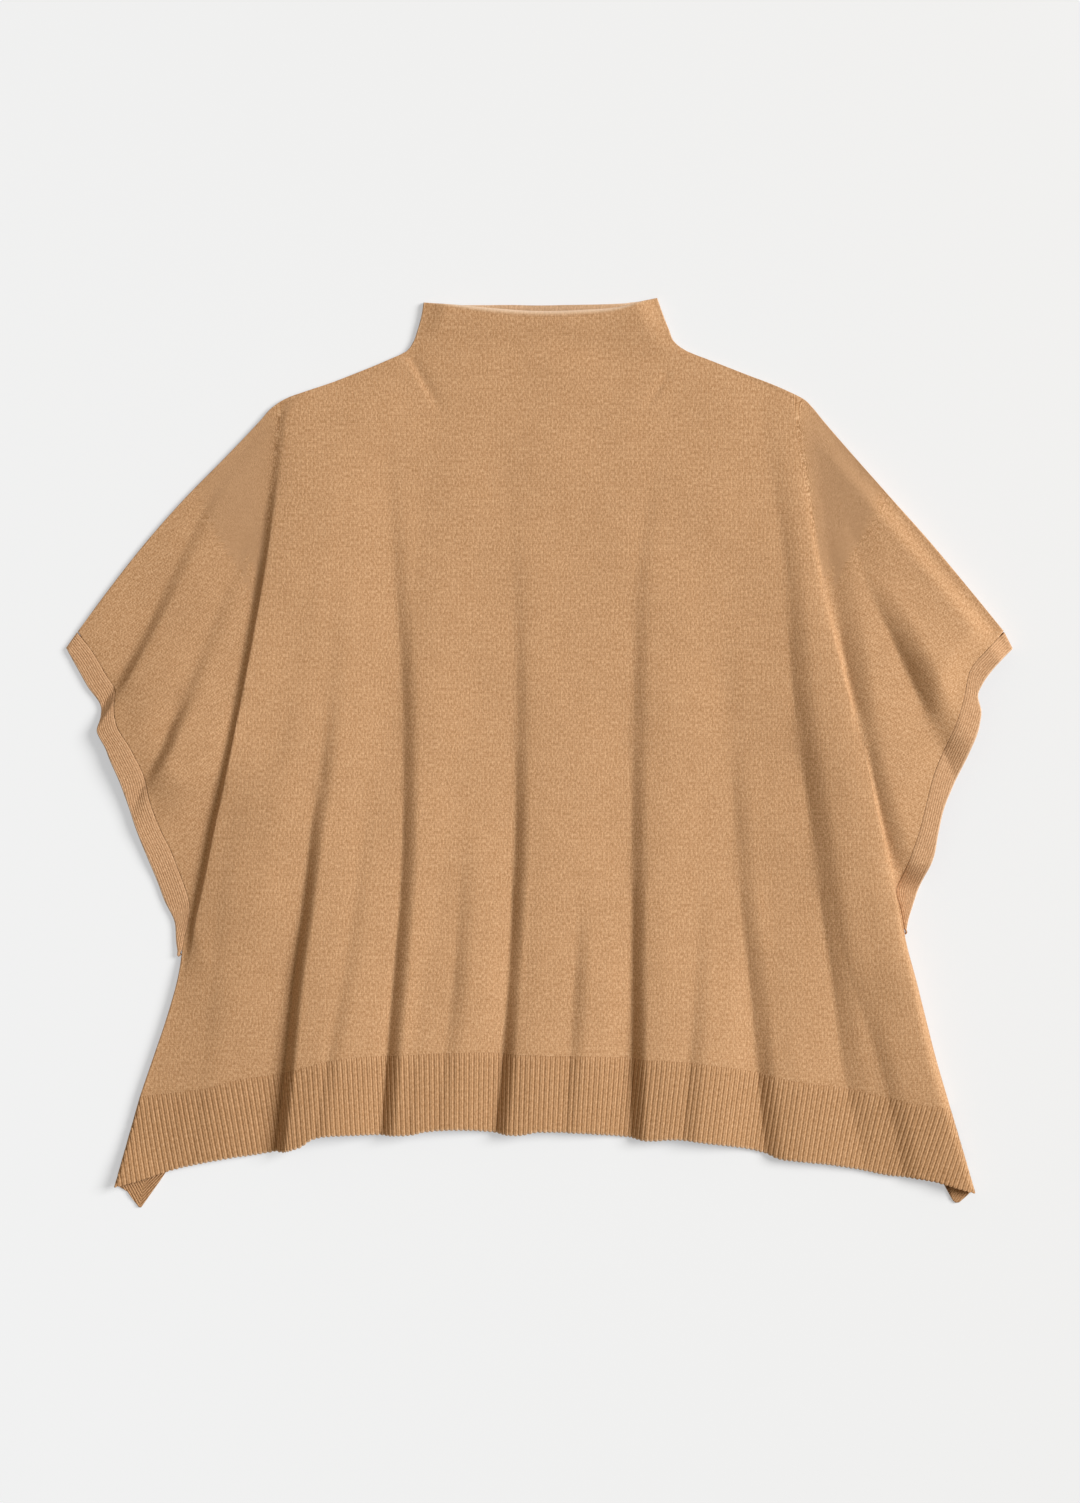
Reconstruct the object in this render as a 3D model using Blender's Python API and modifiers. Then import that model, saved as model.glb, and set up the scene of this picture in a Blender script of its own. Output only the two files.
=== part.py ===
"""Knitted poncho sweater laid out flat, front up: a wide body with a grown-on funnel neck,
an armhole band at each side and a ribbed hem, every panel a wall of cloth over the next one."""

import math

import bmesh
import bpy
import numpy as np

# Driving dimensions. Lengths are in millimetres and are scaled to metres when a vertex is placed.
MM = 0.001
WALL = 1.8            # one layer of the fine knit
NECK_WALL = 2.8       # the turned edge of the funnel neck
RIB_HIGH = 2.7        # hem rib, at the crest of a rib
RIB_LOW = 1.7         # hem rib, in the groove between two ribs
RIB_START = 2.3       # hem rib, at the crest where it leaves the panel
LAYER_GAP = 0.3       # between the back layer and the front layer
SEAM_GAP = 0.3        # each piece stops this far from a seam line
HEM_GAP = 0.4         # and this far from the hem seam, where the rib is thicker than the knit
SIDE_INSET = 1.2      # the back layer stops this far inside the front's folded sides
RIB_PITCH = 4.27      # one knit and one purl wale of the hem
SLEEVE_COLUMNS = 8    # columns of the front panel between a band and the side fold beside it
BAND_COLUMNS = 4
NECK_RISE = 4.0       # the front of the funnel neck stands this far off the back of the neck
NECK_BASE = 345.0     # height of the neck's base line on the y axis
NECK_RIM = 392.0
RIDGE_DROP = 0.25     # a ridge ends this share of its own height lower at the hem
TOP_FADE = 18.0       # folds die out over this distance from the folded top of each sleeve
SIDE_FADE = 7.0       # and over this distance from the edges below the underarms
UNDERARM_FADE = -97.0 # and near each underarm below this y
EDGE_LIP = 2.0        # width of the flat margin where the front panel meets a band
BASE = WALL + LAYER_GAP

# Rim of the front neck and top of the back neck: x, y.
FRONT_RIM = ((-102.0, 395.0), (-81.0, 393.0), (-43.5, 389.5), (-7.5, 387.0), (39.0, 388.0), (75.0, 391.5),
             (91.0, 396.0), (103.5, 399.0))
BACK_RIM = ((-98.0, 394.0), (-7.5, 393.0), (75.0, 394.0), (90.0, 396.0), (101.5, 398.0))

# Outline of the body, a row per cross-section: y, left edge, right edge, share of the rim's dip.
NECK_ROWS = (
    (395.0, -102.0, 103.5, 1.0),
    (385.0, -103.5, 107.5, 0.6),
    (370.0, -107.5, 114.0, 0.25),
    (358.5, -112.0, 120.0, 0.0),
    (351.5, -119.0, 132.5, 0.0),
)
SHOULDER_ROWS = (
    (344.5, -136.0, 150.0), (337.5, -152.0, 168.0), (330.5, -169.5, 186.0), (323.5, -188.0, 204.5),
    (316.5, -208.0, 220.5), (309.5, -226.5, 233.5), (302.5, -235.5, 240.0), (291.5, -244.0, 247.5),
    (256.5, -278.5, 278.5), (221.5, -313.0, 310.0), (186.0, -344.5, 342.0), (145.0, -376.0, 375.0),
)
# Armhole bands, a row per station down the band: y of the seam, left seam x, left edge x and y,
# right seam x, right edge x and y. The first row is the fold over the top of the sleeve.
BAND_ROWS = (
    (105.0, -404.5, -416.1, 90.5, 408.0, 416.1, 90.5),
    (88.5, -393.0, -407.0, 74.5, 392.0, 402.5, 74.5),
    (70.0, -382.5, -397.5, 57.5, 375.5, 390.5, 58.5),
    (50.5, -372.0, -386.0, 39.0, 372.5, 386.5, 47.0),
    (41.0, -371.0, -387.0, 31.0, 369.0, 388.5, 35.5),
    (31.0, -370.0, -389.5, 21.5, 365.5, 385.0, 23.5),
    (6.5, -362.0, -383.0, -1.5, 355.5, 375.5, -0.5),
    (-23.5, -349.0, -372.0, -29.5, 343.5, 362.0, -32.0),
    (-42.5, -344.5, -365.0, -48.0, 339.0, 356.0, -49.0),
    (-66.5, -335.0, -355.0, -71.0, 333.5, 350.5, -71.0),
    (-86.5, -325.0, -346.5, -93.5, 327.0, 346.5, -92.0),
    (-107.0, -316.5, -337.5, -115.0, 319.0, 339.0, -115.0),
    (-124.5, -310.0, -328.5, -133.5, 313.5, 333.0, -130.0),
    (-135.0, -307.5, -323.5, -145.5, 316.5, 328.5, -140.5),
)
BAND_END = (-157.0, -311.3, -319.5, -160.0, 321.0, 326.0, -156.0)
# Folded sides below the bands: y, left edge, right edge.
SIDE_ROWS = ((-107.0, -316.5, 319.0), (-124.5, -310.0, 313.5), (-135.0, -307.5, 316.5),
             (-168.6, -313.0, 322.5), (-202.0, -318.5, 331.0), (-236.0, -328.0, 339.5),
             (-270.0, -339.5, 348.0), (-310.0, -352.0, 359.5))
SIDE_SHARES = (0.2, 0.4, 0.6, 0.8, 1.0)  # rows between the bands' ends and the hem seam

# Seam between the panel and the rib, and lower edge of the rib: x, y.
HEM_SEAM = (
    (-350.5, -302.5), (-318.0, -299.0), (-288.0, -295.0), (-262.5, -288.0), (-223.0, -281.5), (-200.5, -274.5),
    (-184.5, -270.6), (-165.0, -267.8), (-126.5, -266.0), (-92.0, -264.0), (-61.0, -263.5), (-0.5, -266.0), (39.0, -267.0),
    (82.5, -269.0), (139.5, -273.2), (177.5, -278.8), (217.0, -287.5), (276.0, -297.0), (330.5, -308.5),
    (358.5, -312.0),
)
HEM_EDGE = (
    (-371.0, -380.5), (-328.5, -370.5), (-272.5, -356.5), (-224.0, -348.0), (-195.0, -338.5), (-156.0, -335.5),
    (-123.0, -334.0), (-87.5, -331.5), (-40.0, -332.0), (18.0, -333.5), (71.0, -336.5), (132.5, -341.0),
    (181.5, -348.0), (220.5, -356.0), (273.0, -364.5), (329.5, -373.5), (380.5, -386.0),
)
# Corners of the back hem that show below the front hem, from left to right: x, y.
LEFT_FLAP = ((-369.5, -383.0), (-363.0, -386.8), (-352.8, -398.5), (-350.5, -399.0), (-342.0, -388.0),
             (-334.0, -378.0), (-326.0, -366.0))
RIGHT_FLAP = ((352.0, -374.0), (363.5, -395.0), (366.0, -397.0), (369.5, -396.6), (377.0, -389.6), (379.0, -387.5))

# Folds, a row each. side is the steep flank: -1 left, +1 right. steep and gentle are the widths of the two
# flanks, lean is how far the crest tips over the steep one. x and rise are given at the FOLD_Y stations.
FOLD_Y = (290.0, 150.0, 10.0, -130.0, -270.0, -390.0)
FOLDS = (
    # name, side, steep, gentle, lean, x at each station, rise at each station
    ("left_side", -1, 9, 75, 9, (-222.5, -242, -269, -300, -334.5, -369.5), (1, 10, 12, 12, 8, 2)),
    ("right_side", 1, 9, 60, 7, (222, 247.5, 282.5, 311.5, 343.5, 378.5), (0, 3, 6, 9, 8, 2)),
    ("left_sleeve_high", -1, 14, 34, 0, (-256, -323, -394, -465, -535, -600), (1, 4, 9, 9, 0, 0)),
    ("left_sleeve_low", -1, 15, 36, 0, (-200, -270.5, -328, -387, -446, -500), (0, 1.5, 7, 6, 0, 0)),
    ("left_far", -1, 18, 30, 0, (-225, -232, -244, -265, -283, -299), (0, 0, 0, 2, 2.5, 1.5)),
    ("front_one", -1, 14, 40, 0, (-165, -171, -187, -206, -226.5, -241.5), (0, 0, 3.5, 8.5, 12, 12)),
    ("front_one_small", -1, 18, 24, 0, (-140, -143, -147, -158, -177, -198), (0, 0, 0, 2, 2, 1)),
    ("front_two", -1, 15, 42, 0, (-130, -123, -116, -118, -130, -144), (0, 1.5, 6, 9, 11, 11)),
    ("front_two_small", -1, 18, 24, 0, (-52, -54, -57.5, -66.5, -79, -94.5), (0, 0, 0, 1.5, 3, 3)),
    ("front_three", -1, 15, 42, 0, (-30, -20, -16, -20, -28.5, -41), (0, 1, 4.5, 8.5, 11, 12)),
    ("front_three_small", -1, 18, 24, 0, (38, 40, 40, 37.5, 29.5, 20), (0, 0, 0, 1, 3, 2)),
    ("front_four", -1, 15, 42, 0, (113, 92, 85, 85, 84, 81.5), (0, 2, 5, 8.5, 11, 12)),
    ("front_four_small", -1, 18, 24, 0, (150, 148, 146, 143, 137, 127), (0, 0, 0, 1, 3, 3)),
    ("front_five", -1, 16, 44, 0, (165, 164, 171, 181, 195, 208), (0, 0, 2, 5, 9, 10)),
    ("right_body", -1, 22, 46, 0, (206, 221, 234, 256.5, 274, 300), (1, 4, 6.5, 6, 4, 2)),
    ("right_hem", -1, 18, 34, 0, (230, 236, 246, 260, 304, 361), (0, 0, 0, 1, 4, 4)),
    ("right_sleeve_low", -1, 18, 26, 0, (252, 265, 290, 338, 390, 440), (1, 3.5, 5, 4, 0, 0)),
    ("right_sleeve_mid", -1, 17, 34, 0, (256, 297, 357, 425, 495, 560), (0, 3, 8, 8, 0, 0)),
    ("right_sleeve_high", -1, 16, 26, 0, (240, 347, 452, 560, 660, 760), (0, 2.5, 4, 4, 0, 0)),
)
# Columns of the front panel: the folds that run its whole length, where columns stand on a flank as shares of
# its width, how many lie between one fold and the next, and the columns along a folded side.
LONG_FOLDS = ("left_side", "front_one", "front_two", "front_three", "front_four", "front_five", "right_body",
              "right_side")
FLANK_COLUMNS = (-0.5, -0.17, 0.17, 0.5, 1.2)
BETWEEN_COLUMNS = (3, 3, 3, 3, 3, 2, 2)
EDGE_COLUMNS = (0.0, 2.0, 5.0, 9.0, 16.0)
LEFT_UNDERARM = -135.0
RIGHT_UNDERARM = -124.5
# Folded top of each sleeve, shoulder point then band tip: x, y.
SLEEVE_TOPS = (((-233.0, 305.0), (-417.0, 90.0)), ((240.0, 303.0), (417.0, 90.0)))


def smooth(t):
    """Smooth step of t between 0 and 1."""
    t = np.clip(t, 0.0, 1.0)
    return t * t * (3.0 - 2.0 * t)


def read_curve(points, x):
    """y of a table of x, y points at x."""
    xs = [p[0] for p in points]
    ys = [p[1] for p in points]
    return np.interp(x, xs, ys)


def read_rows(rows, y, column):
    """A column of a table whose first column is a falling y."""
    ys = [r[0] for r in rows][::-1]
    values = [r[column] for r in rows][::-1]
    return np.interp(y, ys, values)


def fold_line(stations, y):
    """x of a fold's line at y: a cubic through the stations, straight beyond them."""
    ys = np.array(FOLD_Y[::-1])
    xs = np.array(stations[::-1], dtype=float)
    slope = np.gradient(xs, ys)
    y = np.asarray(y, dtype=float)
    inside = np.clip(y, ys[0], ys[-1])
    k = np.clip(np.searchsorted(ys, inside) - 1, 0, len(ys) - 2)
    step = ys[k + 1] - ys[k]
    t = (inside - ys[k]) / step
    value = ((2 * t**3 - 3 * t**2 + 1) * xs[k] + (t**3 - 2 * t**2 + t) * step * slope[k]
             + (3 * t**2 - 2 * t**3) * xs[k + 1] + (t**3 - t**2) * step * slope[k + 1])
    end = np.where(y > ys[-1], slope[-1], slope[0])
    return value + (y - inside) * end


def fold_rise(rises, y):
    """Height of a fold at y. It dies out above the first station."""
    value = np.interp(y, FOLD_Y[::-1], rises[::-1])
    return value * (1.0 - smooth((np.asarray(y) - FOLD_Y[0]) / 40.0))


def fold_share(fold, x, y):
    """Share of a fold's full height at x, y: a steep flank on one side and a gentle one on the other."""
    _, side, steep, gentle, _, stations, _ = fold
    slant = (fold_line(stations, y + 1.0) - fold_line(stations, y - 1.0)) / 2.0
    across = -side * (x - fold_line(stations, y)) / np.sqrt(1.0 + slant**2)
    climb = 0.78 * smooth(across / steep + 0.5) + 0.22 * smooth((across / steep + 0.5) / 3.0)
    return climb * (1.0 - smooth((across - 1.2 * steep) / gentle))


def sleeve_fade(x, y):
    """Folds flatten towards the folded top of each sleeve."""
    fade = np.ones_like(np.asarray(x, dtype=float))
    for (x0, y0), (x1, y1) in SLEEVE_TOPS:
        length = math.hypot(x1 - x0, y1 - y0)
        turn = 1.0 if x1 > 0 else -1.0
        distance = turn * ((x - x0) * (y1 - y0) - (y - y0) * (x1 - x0)) / length
        fade = fade * smooth(distance / TOP_FADE)
    return fade


def side_fade(x, y):
    """Folds also end at the seam by the underarm and at the folded sides below it."""
    low = smooth((UNDERARM_FADE - y) / 26.0)
    lip = EDGE_LIP * (1.0 - smooth((-160.0 - y) / 25.0))
    fade = np.ones_like(np.asarray(x, dtype=float))
    for column, turn in ((1, 1.0), (2, -1.0)):
        near = smooth((turn * (x - read_rows(SIDE_ROWS, y, column)) - lip) / SIDE_FADE)
        fade = fade * (1.0 - low * (1.0 - near))
    return fade


def cloth_rise(x, y):
    """How far the front layer stands off the back layer at x, y."""
    rise = np.zeros_like(np.asarray(x, dtype=float))
    for fold in FOLDS:
        rise = rise + fold_rise(fold[6], y) * fold_share(fold, x, y)
    return rise * sleeve_fade(x, y) * side_fade(x, y)


def cloth_lean(x, y):
    """Sideways shift of the cloth where a side fold tips over its steep flank."""
    shift = np.zeros_like(np.asarray(x, dtype=float))
    for fold in FOLDS:
        if fold[4]:
            share = fold_share(fold, x, y) * fold_rise(fold[6], y) / max(fold[6])
            shift = shift + fold[1] * fold[4] * share
    return shift * side_fade(x, y)


def fold_spot(fold, y_of):
    """x where a fold's line crosses a row whose y changes with x."""
    x = float(fold_line(fold[5], float(y_of(np.array(0.0)))))
    for _ in range(6):
        x = float(fold_line(fold[5], float(y_of(np.array(x)))))
    return x


def spread_columns(left, right, y_of, row_y):
    """x of each column of a row: set columns on each long fold, even ones between the folds."""
    groups = []
    for name in LONG_FOLDS:
        fold = next(f for f in FOLDS if f[0] == name)
        spot = fold_spot(fold, y_of)
        group = [spot - fold[1] * part * fold[2] for part in FLANK_COLUMNS]
        groups.append(sorted(group))
    if row_y <= LEFT_UNDERARM:
        groups[0] = [left + step for step in EDGE_COLUMNS]
    if row_y <= RIGHT_UNDERARM:
        groups[-1] = [right - step for step in EDGE_COLUMNS[::-1]]
    x = list(np.linspace(left + EDGE_LIP, groups[0][0], SLEEVE_COLUMNS))[:-1]
    x = [left] + x if row_y > LEFT_UNDERARM else [left] * SLEEVE_COLUMNS
    for number, group in enumerate(groups):
        if number:
            count = BETWEEN_COLUMNS[number - 1]
            x += list(np.linspace(x[-1], max(group[0], x[-1] + 0.5 * count), count + 1))[1:-1]
        for spot in group:
            x.append(max(spot, x[-1] + 0.5) if x[-1] > left else spot)
    if row_y > RIGHT_UNDERARM:
        x += list(np.linspace(x[-1], right - EDGE_LIP, SLEEVE_COLUMNS))[1:] + [right]
    else:
        x[-1] = right
        x += [right] * SLEEVE_COLUMNS
    x = np.array(x)
    even = np.linspace(left, right, len(x))
    return x + (even - x) * smooth((row_y - 225.0) / 70.0)


def spread_by_length(left, right, y_of, count):
    """x of each column between two edges, at equal steps along the cloth itself."""
    x = np.linspace(left, right, 2400)
    z = cloth_rise(x, y_of(x))
    length = np.concatenate(([0.0], np.cumsum(np.hypot(np.diff(x), np.diff(z)))))
    return np.interp(np.linspace(0.0, length[-1], count + 1), length, x)


def material(name, colour, roughness):
    mat = bpy.data.materials.new(name)
    mat.use_nodes = True
    shader = mat.node_tree.nodes["Principled BSDF"]
    shader.inputs["Base Color"].default_value = (*colour, 1.0)
    shader.inputs["Roughness"].default_value = roughness
    shader.inputs["Metallic"].default_value = 0.0
    return mat


def grid_object(name, columns, rows):
    """A flat grid whose vertices are read back as column and row numbers."""
    bpy.ops.mesh.primitive_grid_add(x_subdivisions=columns, y_subdivisions=rows, size=1.0)
    obj = bpy.context.object
    obj.name = name
    obj.data.name = name
    marks = []
    for vertex in obj.data.vertices:
        marks.append((round((vertex.co.x + 0.5) * columns), round((vertex.co.y + 0.5) * rows)))
    return obj, marks


def place(obj, marks, x, y, z):
    """Moves the grid's vertices to x, y, z, which are arrays by row and column."""
    for vertex, (column, row) in zip(obj.data.vertices, marks):
        vertex.co = (x[row][column] * MM, y[row][column] * MM, z[row][column] * MM)
    obj.data.update()


def thicken(obj, thickness, offset, weights=None, marks=None):
    """Gives an open surface its wall. weights are by row and column, 1 is the full thickness."""
    solid = obj.modifiers.new("wall", "SOLIDIFY")
    solid.thickness = thickness * MM
    solid.offset = offset
    solid.use_rim = True
    if weights is not None:
        group = obj.vertex_groups.new(name="wall")
        for vertex, (column, row) in zip(obj.data.vertices, marks):
            group.add([vertex.index], float(weights[row][column]), "REPLACE")
        solid.vertex_group = "wall"
        solid.thickness_vertex_group = 0.0
    return solid


def merge_underarms(obj):
    """The sleeve's columns run together at each underarm and go no lower."""
    mesh = bmesh.new()
    mesh.from_mesh(obj.data)
    bmesh.ops.remove_doubles(mesh, verts=mesh.verts, dist=0.00001)
    mesh.to_mesh(obj.data)
    mesh.free()


def panel_rows():
    """Cross-sections of the front panel from the hem seam up: left x, right x and y as a function of x."""
    rows = []
    for share in SIDE_SHARES[::-1]:
        def y_of(x, share=share):
            return -135.0 + share * (read_curve(HEM_SEAM, x) + 135.0)
        left = read_rows(SIDE_ROWS, y_of(-350.5), 1)
        right = read_rows(SIDE_ROWS, y_of(358.5), 2)
        if share == 1.0:
            left = HEM_SEAM[0][0]
            right = HEM_SEAM[-1][0]
        rows.append((left, right, -135.0 - share, y_of))
    for row in BAND_ROWS[::-1]:
        rows.append((row[1] + SEAM_GAP, row[4] - SEAM_GAP, row[0], lambda x, y=row[0]: np.full_like(x, y)))
    for y, left, right in SHOULDER_ROWS[::-1]:
        rows.append((left, right, y, lambda x, y=y: np.full_like(x, y)))
    for y, left, right, dip in NECK_ROWS[::-1]:
        rows.append((left, right, y, lambda x, y=y, dip=dip: y + dip * (read_curve(FRONT_RIM, x) - 395.0)))
    return rows


def neck_rise(x, y, left, right):
    """The front of the funnel neck stands off the back, and closes down at its two folded sides."""
    side = smooth((x - left) / 22.0) * smooth((right - x) / 22.0)
    return NECK_RISE * smooth((y - NECK_BASE) / (NECK_RIM - NECK_BASE)) * side


def build_front_panel(mat):
    rows = panel_rows()
    xs, ys, zs, walls = [], [], [], []
    for left, right, row_y, y_of in rows:
        x = spread_columns(left, right, y_of, row_y)
        y = y_of(x)
        if not ys:
            y = y + HEM_GAP
        z = BASE + cloth_rise(x, y) + neck_rise(x, y, left, right)
        xs.append(x + cloth_lean(x, y))
        ys.append(y)
        zs.append(z)
        wall = WALL + (NECK_WALL - WALL) * smooth((y - NECK_BASE) / (NECK_RIM - NECK_BASE))
        walls.append(wall / NECK_WALL)
    obj, marks = grid_object("front_panel", len(xs[0]) - 1, len(rows) - 1)
    place(obj, marks, xs, ys, zs)
    thicken(obj, NECK_WALL, 1.0, walls, marks)
    merge_underarms(obj)
    obj.data.materials.append(mat)
    return obj


def build_front_hem(mat):
    left = HEM_SEAM[0][0]
    right = HEM_SEAM[-1][0]
    ribs = round((right - left) * 1.035 / RIB_PITCH)
    columns = 2 * ribs
    obj, marks = grid_object("front_hem", columns, 2)

    def seam_y(x):
        return read_curve(HEM_SEAM, x)

    def edge_y(x):
        return read_curve(HEM_EDGE, x)

    top = spread_by_length(left, right, seam_y, columns)
    low = spread_by_length(HEM_EDGE[0][0], HEM_EDGE[-1][0], edge_y, columns)
    xs, ys, zs = [], [], []
    for share in (0.0, 0.5, 1.0):
        x = low + (top - low) * share
        y = (seam_y(top) - HEM_GAP) * share + edge_y(low) * (1.0 - share)
        z = BASE + cloth_rise(x, y)
        xs.append(x + cloth_lean(x, y))
        ys.append(y - RIDGE_DROP * (z - BASE) * (1.0 - share) ** 2)
        zs.append(z)
    place(obj, marks, xs, ys, zs)
    crest = np.arange(columns + 1) % 2 == 1
    relief = np.where(crest, 1.0, RIB_LOW / RIB_HIGH)
    start = np.where(crest, RIB_START / RIB_HIGH, RIB_LOW / RIB_HIGH)
    thicken(obj, RIB_HIGH, 1.0, [relief, relief, start], marks)
    obj.data.materials.append(mat)
    return obj


def outline_object(name, points, mat):
    """A flat piece of cloth: a closed 2D outline, extruded to one wall, lying on z = 0."""
    curve = bpy.data.curves.new(name, "CURVE")
    curve.dimensions = "2D"
    curve.fill_mode = "BOTH"
    curve.extrude = WALL * MM / 2.0
    spline = curve.splines.new("POLY")
    spline.points.add(len(points) - 1)
    for point, (x, y) in zip(spline.points, points):
        point.co = (x * MM, y * MM, 0.0, 1.0)
    spline.use_cyclic_u = True
    obj = bpy.data.objects.new(name, curve)
    obj.location.z = WALL * MM / 2.0
    bpy.context.scene.collection.objects.link(obj)
    obj.data.materials.append(mat)
    return obj


def back_side(column):
    """The back panel's side from the neck down to the hem seam: column 0 left, 1 right."""
    turn = 1.0 if column == 0 else -1.0
    points = []
    for row in NECK_ROWS[1:]:
        points.append((row[1 + column] + turn * SIDE_INSET, row[0]))
    for row in SHOULDER_ROWS:
        points.append((row[1 + column] + turn * SIDE_INSET, row[0]))
    for row in BAND_ROWS:
        points.append((row[4 if column else 1] + turn * 2.0 * SEAM_GAP, row[0]))
    end = (BAND_END[4 if column else 1], BAND_END[0])
    points.append((end[0] + turn * 2.0 * SEAM_GAP, end[1]))
    for row in SIDE_ROWS[3:-2]:
        points.append((row[1 + column] + turn * SIDE_INSET, row[0]))
    return points


def build_back_panel(mat):
    seam = [(x, y + SEAM_GAP) for x, y in HEM_SEAM[1:-1]]
    left = back_side(0)
    right = back_side(1)
    ends = [(HEM_SEAM[0][0] + SIDE_INSET, HEM_SEAM[0][1] + SEAM_GAP)]
    last = [(HEM_SEAM[-1][0] - SIDE_INSET, HEM_SEAM[-1][1] + SEAM_GAP)]
    points = left + ends + seam + last + right[::-1] + list(BACK_RIM[::-1])
    return outline_object("back_panel", points, mat)


def build_back_hem(mat):
    seam = [(x, y - SEAM_GAP) for x, y in HEM_SEAM[1:-1]]
    edge = [(x, y + 4.0) for x, y in HEM_EDGE[2:-1]]
    left = [(HEM_SEAM[0][0] + SIDE_INSET, HEM_SEAM[0][1] - SEAM_GAP)]
    right = [(HEM_SEAM[-1][0] - SIDE_INSET, HEM_SEAM[-1][1] - SEAM_GAP)]
    points = left + list(LEFT_FLAP) + edge + list(RIGHT_FLAP) + right + seam[::-1]
    return outline_object("back_hem", points, mat)


def square_to(across, along):
    """Unit vector square to across, on the side that along points to."""
    turned = np.array((-across[1], across[0])) / np.hypot(*across)
    return turned * np.sign(turned @ along)


def build_band(name, side, mat):
    """An armhole band: a loop of knit pressed flat, its front half over its back half."""
    seam_column = 4 if side > 0 else 1
    rows = [r for r in BAND_ROWS] + [BAND_END]
    inner = np.array([(r[seam_column], r[0]) for r in rows])
    outer = np.array([(r[seam_column + 1], r[seam_column + 2]) for r in rows])
    shares = np.linspace(0.0, 1.0, BAND_COLUMNS + 1)
    turn_in = LAYER_GAP / 2.0
    turn_out = turn_in + WALL
    angles = np.radians((90.0, 50.0, 0.0, -50.0, -90.0))
    centre = WALL + LAYER_GAP / 2.0
    start = (inner[1] - inner[0]) / np.hypot(*(inner[1] - inner[0]))
    end = square_to(outer[-1] - inner[-1], inner[-1] - inner[-2])
    lines = []
    for share in shares:
        width = np.hypot(*(outer - inner).T)
        pull = SEAM_GAP / width
        at = pull + share * (1.0 - pull)
        path = inner + (outer - inner) * at[:, None]
        points = []
        for angle in angles[::-1]:
            spot = path[0] + start * (turn_out - turn_in * math.cos(angle))
            points.append((spot[0], spot[1], centre + turn_in * math.sin(angle)))
        for spot in path[1:-1]:
            rise = float(cloth_rise(spot[0], spot[1]))
            points.append((spot[0], spot[1], BASE + rise))
        for angle in angles:
            spot = path[-1] - end * (turn_out - turn_in * math.cos(angle))
            points.append((spot[0], spot[1], centre + turn_in * math.sin(angle)))
        for spot in path[1:-1][::-1]:
            points.append((spot[0], spot[1], WALL))
        points.append(points[0])
        lines.append(points)
    grid = np.array(lines)
    if side < 0:
        grid = grid[::-1]
    obj, marks = grid_object(name, grid.shape[1] - 1, BAND_COLUMNS)
    place(obj, marks, grid[:, :, 0], grid[:, :, 1], grid[:, :, 2])
    weld = obj.modifiers.new("close", "WELD")
    weld.merge_threshold = 0.00001
    thicken(obj, WALL, 1.0)
    obj.data.materials.append(mat)
    return obj


def main():
    for obj in list(bpy.data.objects):
        bpy.data.objects.remove(obj, do_unlink=True)
    collection = bpy.data.collections.new("knitted_poncho_sweater")
    bpy.context.scene.collection.children.link(collection)
    knit = (0.552, 0.314, 0.157)
    rib = (0.480, 0.262, 0.133)
    band = (0.560, 0.330, 0.180)
    pieces = (
        build_front_panel(material("front_knit", knit, 0.95)),
        build_back_panel(material("back_knit", knit, 0.95)),
        build_front_hem(material("front_rib", rib, 0.95)),
        build_back_hem(material("back_rib", rib, 0.95)),
        build_band("left_cuff", -1, material("left_band", band, 0.95)),
        build_band("right_cuff", 1, material("right_band", band, 0.95)),
    )
    for obj in pieces:
        for owner in list(obj.users_collection):
            owner.objects.unlink(obj)
        collection.objects.link(obj)


main()
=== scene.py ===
import math

import bmesh
import bpy
import numpy as np
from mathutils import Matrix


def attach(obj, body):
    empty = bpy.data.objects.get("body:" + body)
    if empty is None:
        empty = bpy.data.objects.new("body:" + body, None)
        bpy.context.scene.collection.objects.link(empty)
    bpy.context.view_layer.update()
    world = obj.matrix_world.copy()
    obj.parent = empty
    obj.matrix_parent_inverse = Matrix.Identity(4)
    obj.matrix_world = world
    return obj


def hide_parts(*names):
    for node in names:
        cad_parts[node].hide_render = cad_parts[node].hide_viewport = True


# A fine cashmere poncho sweater, laid flat with its front up. All tables are in millimetres.
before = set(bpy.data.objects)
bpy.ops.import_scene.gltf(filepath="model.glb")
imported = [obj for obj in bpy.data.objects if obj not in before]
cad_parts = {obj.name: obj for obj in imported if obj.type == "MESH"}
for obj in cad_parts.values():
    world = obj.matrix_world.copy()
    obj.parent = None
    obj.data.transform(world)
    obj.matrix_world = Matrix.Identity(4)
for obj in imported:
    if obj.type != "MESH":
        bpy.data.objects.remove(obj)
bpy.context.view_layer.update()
mm = 0.001

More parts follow.
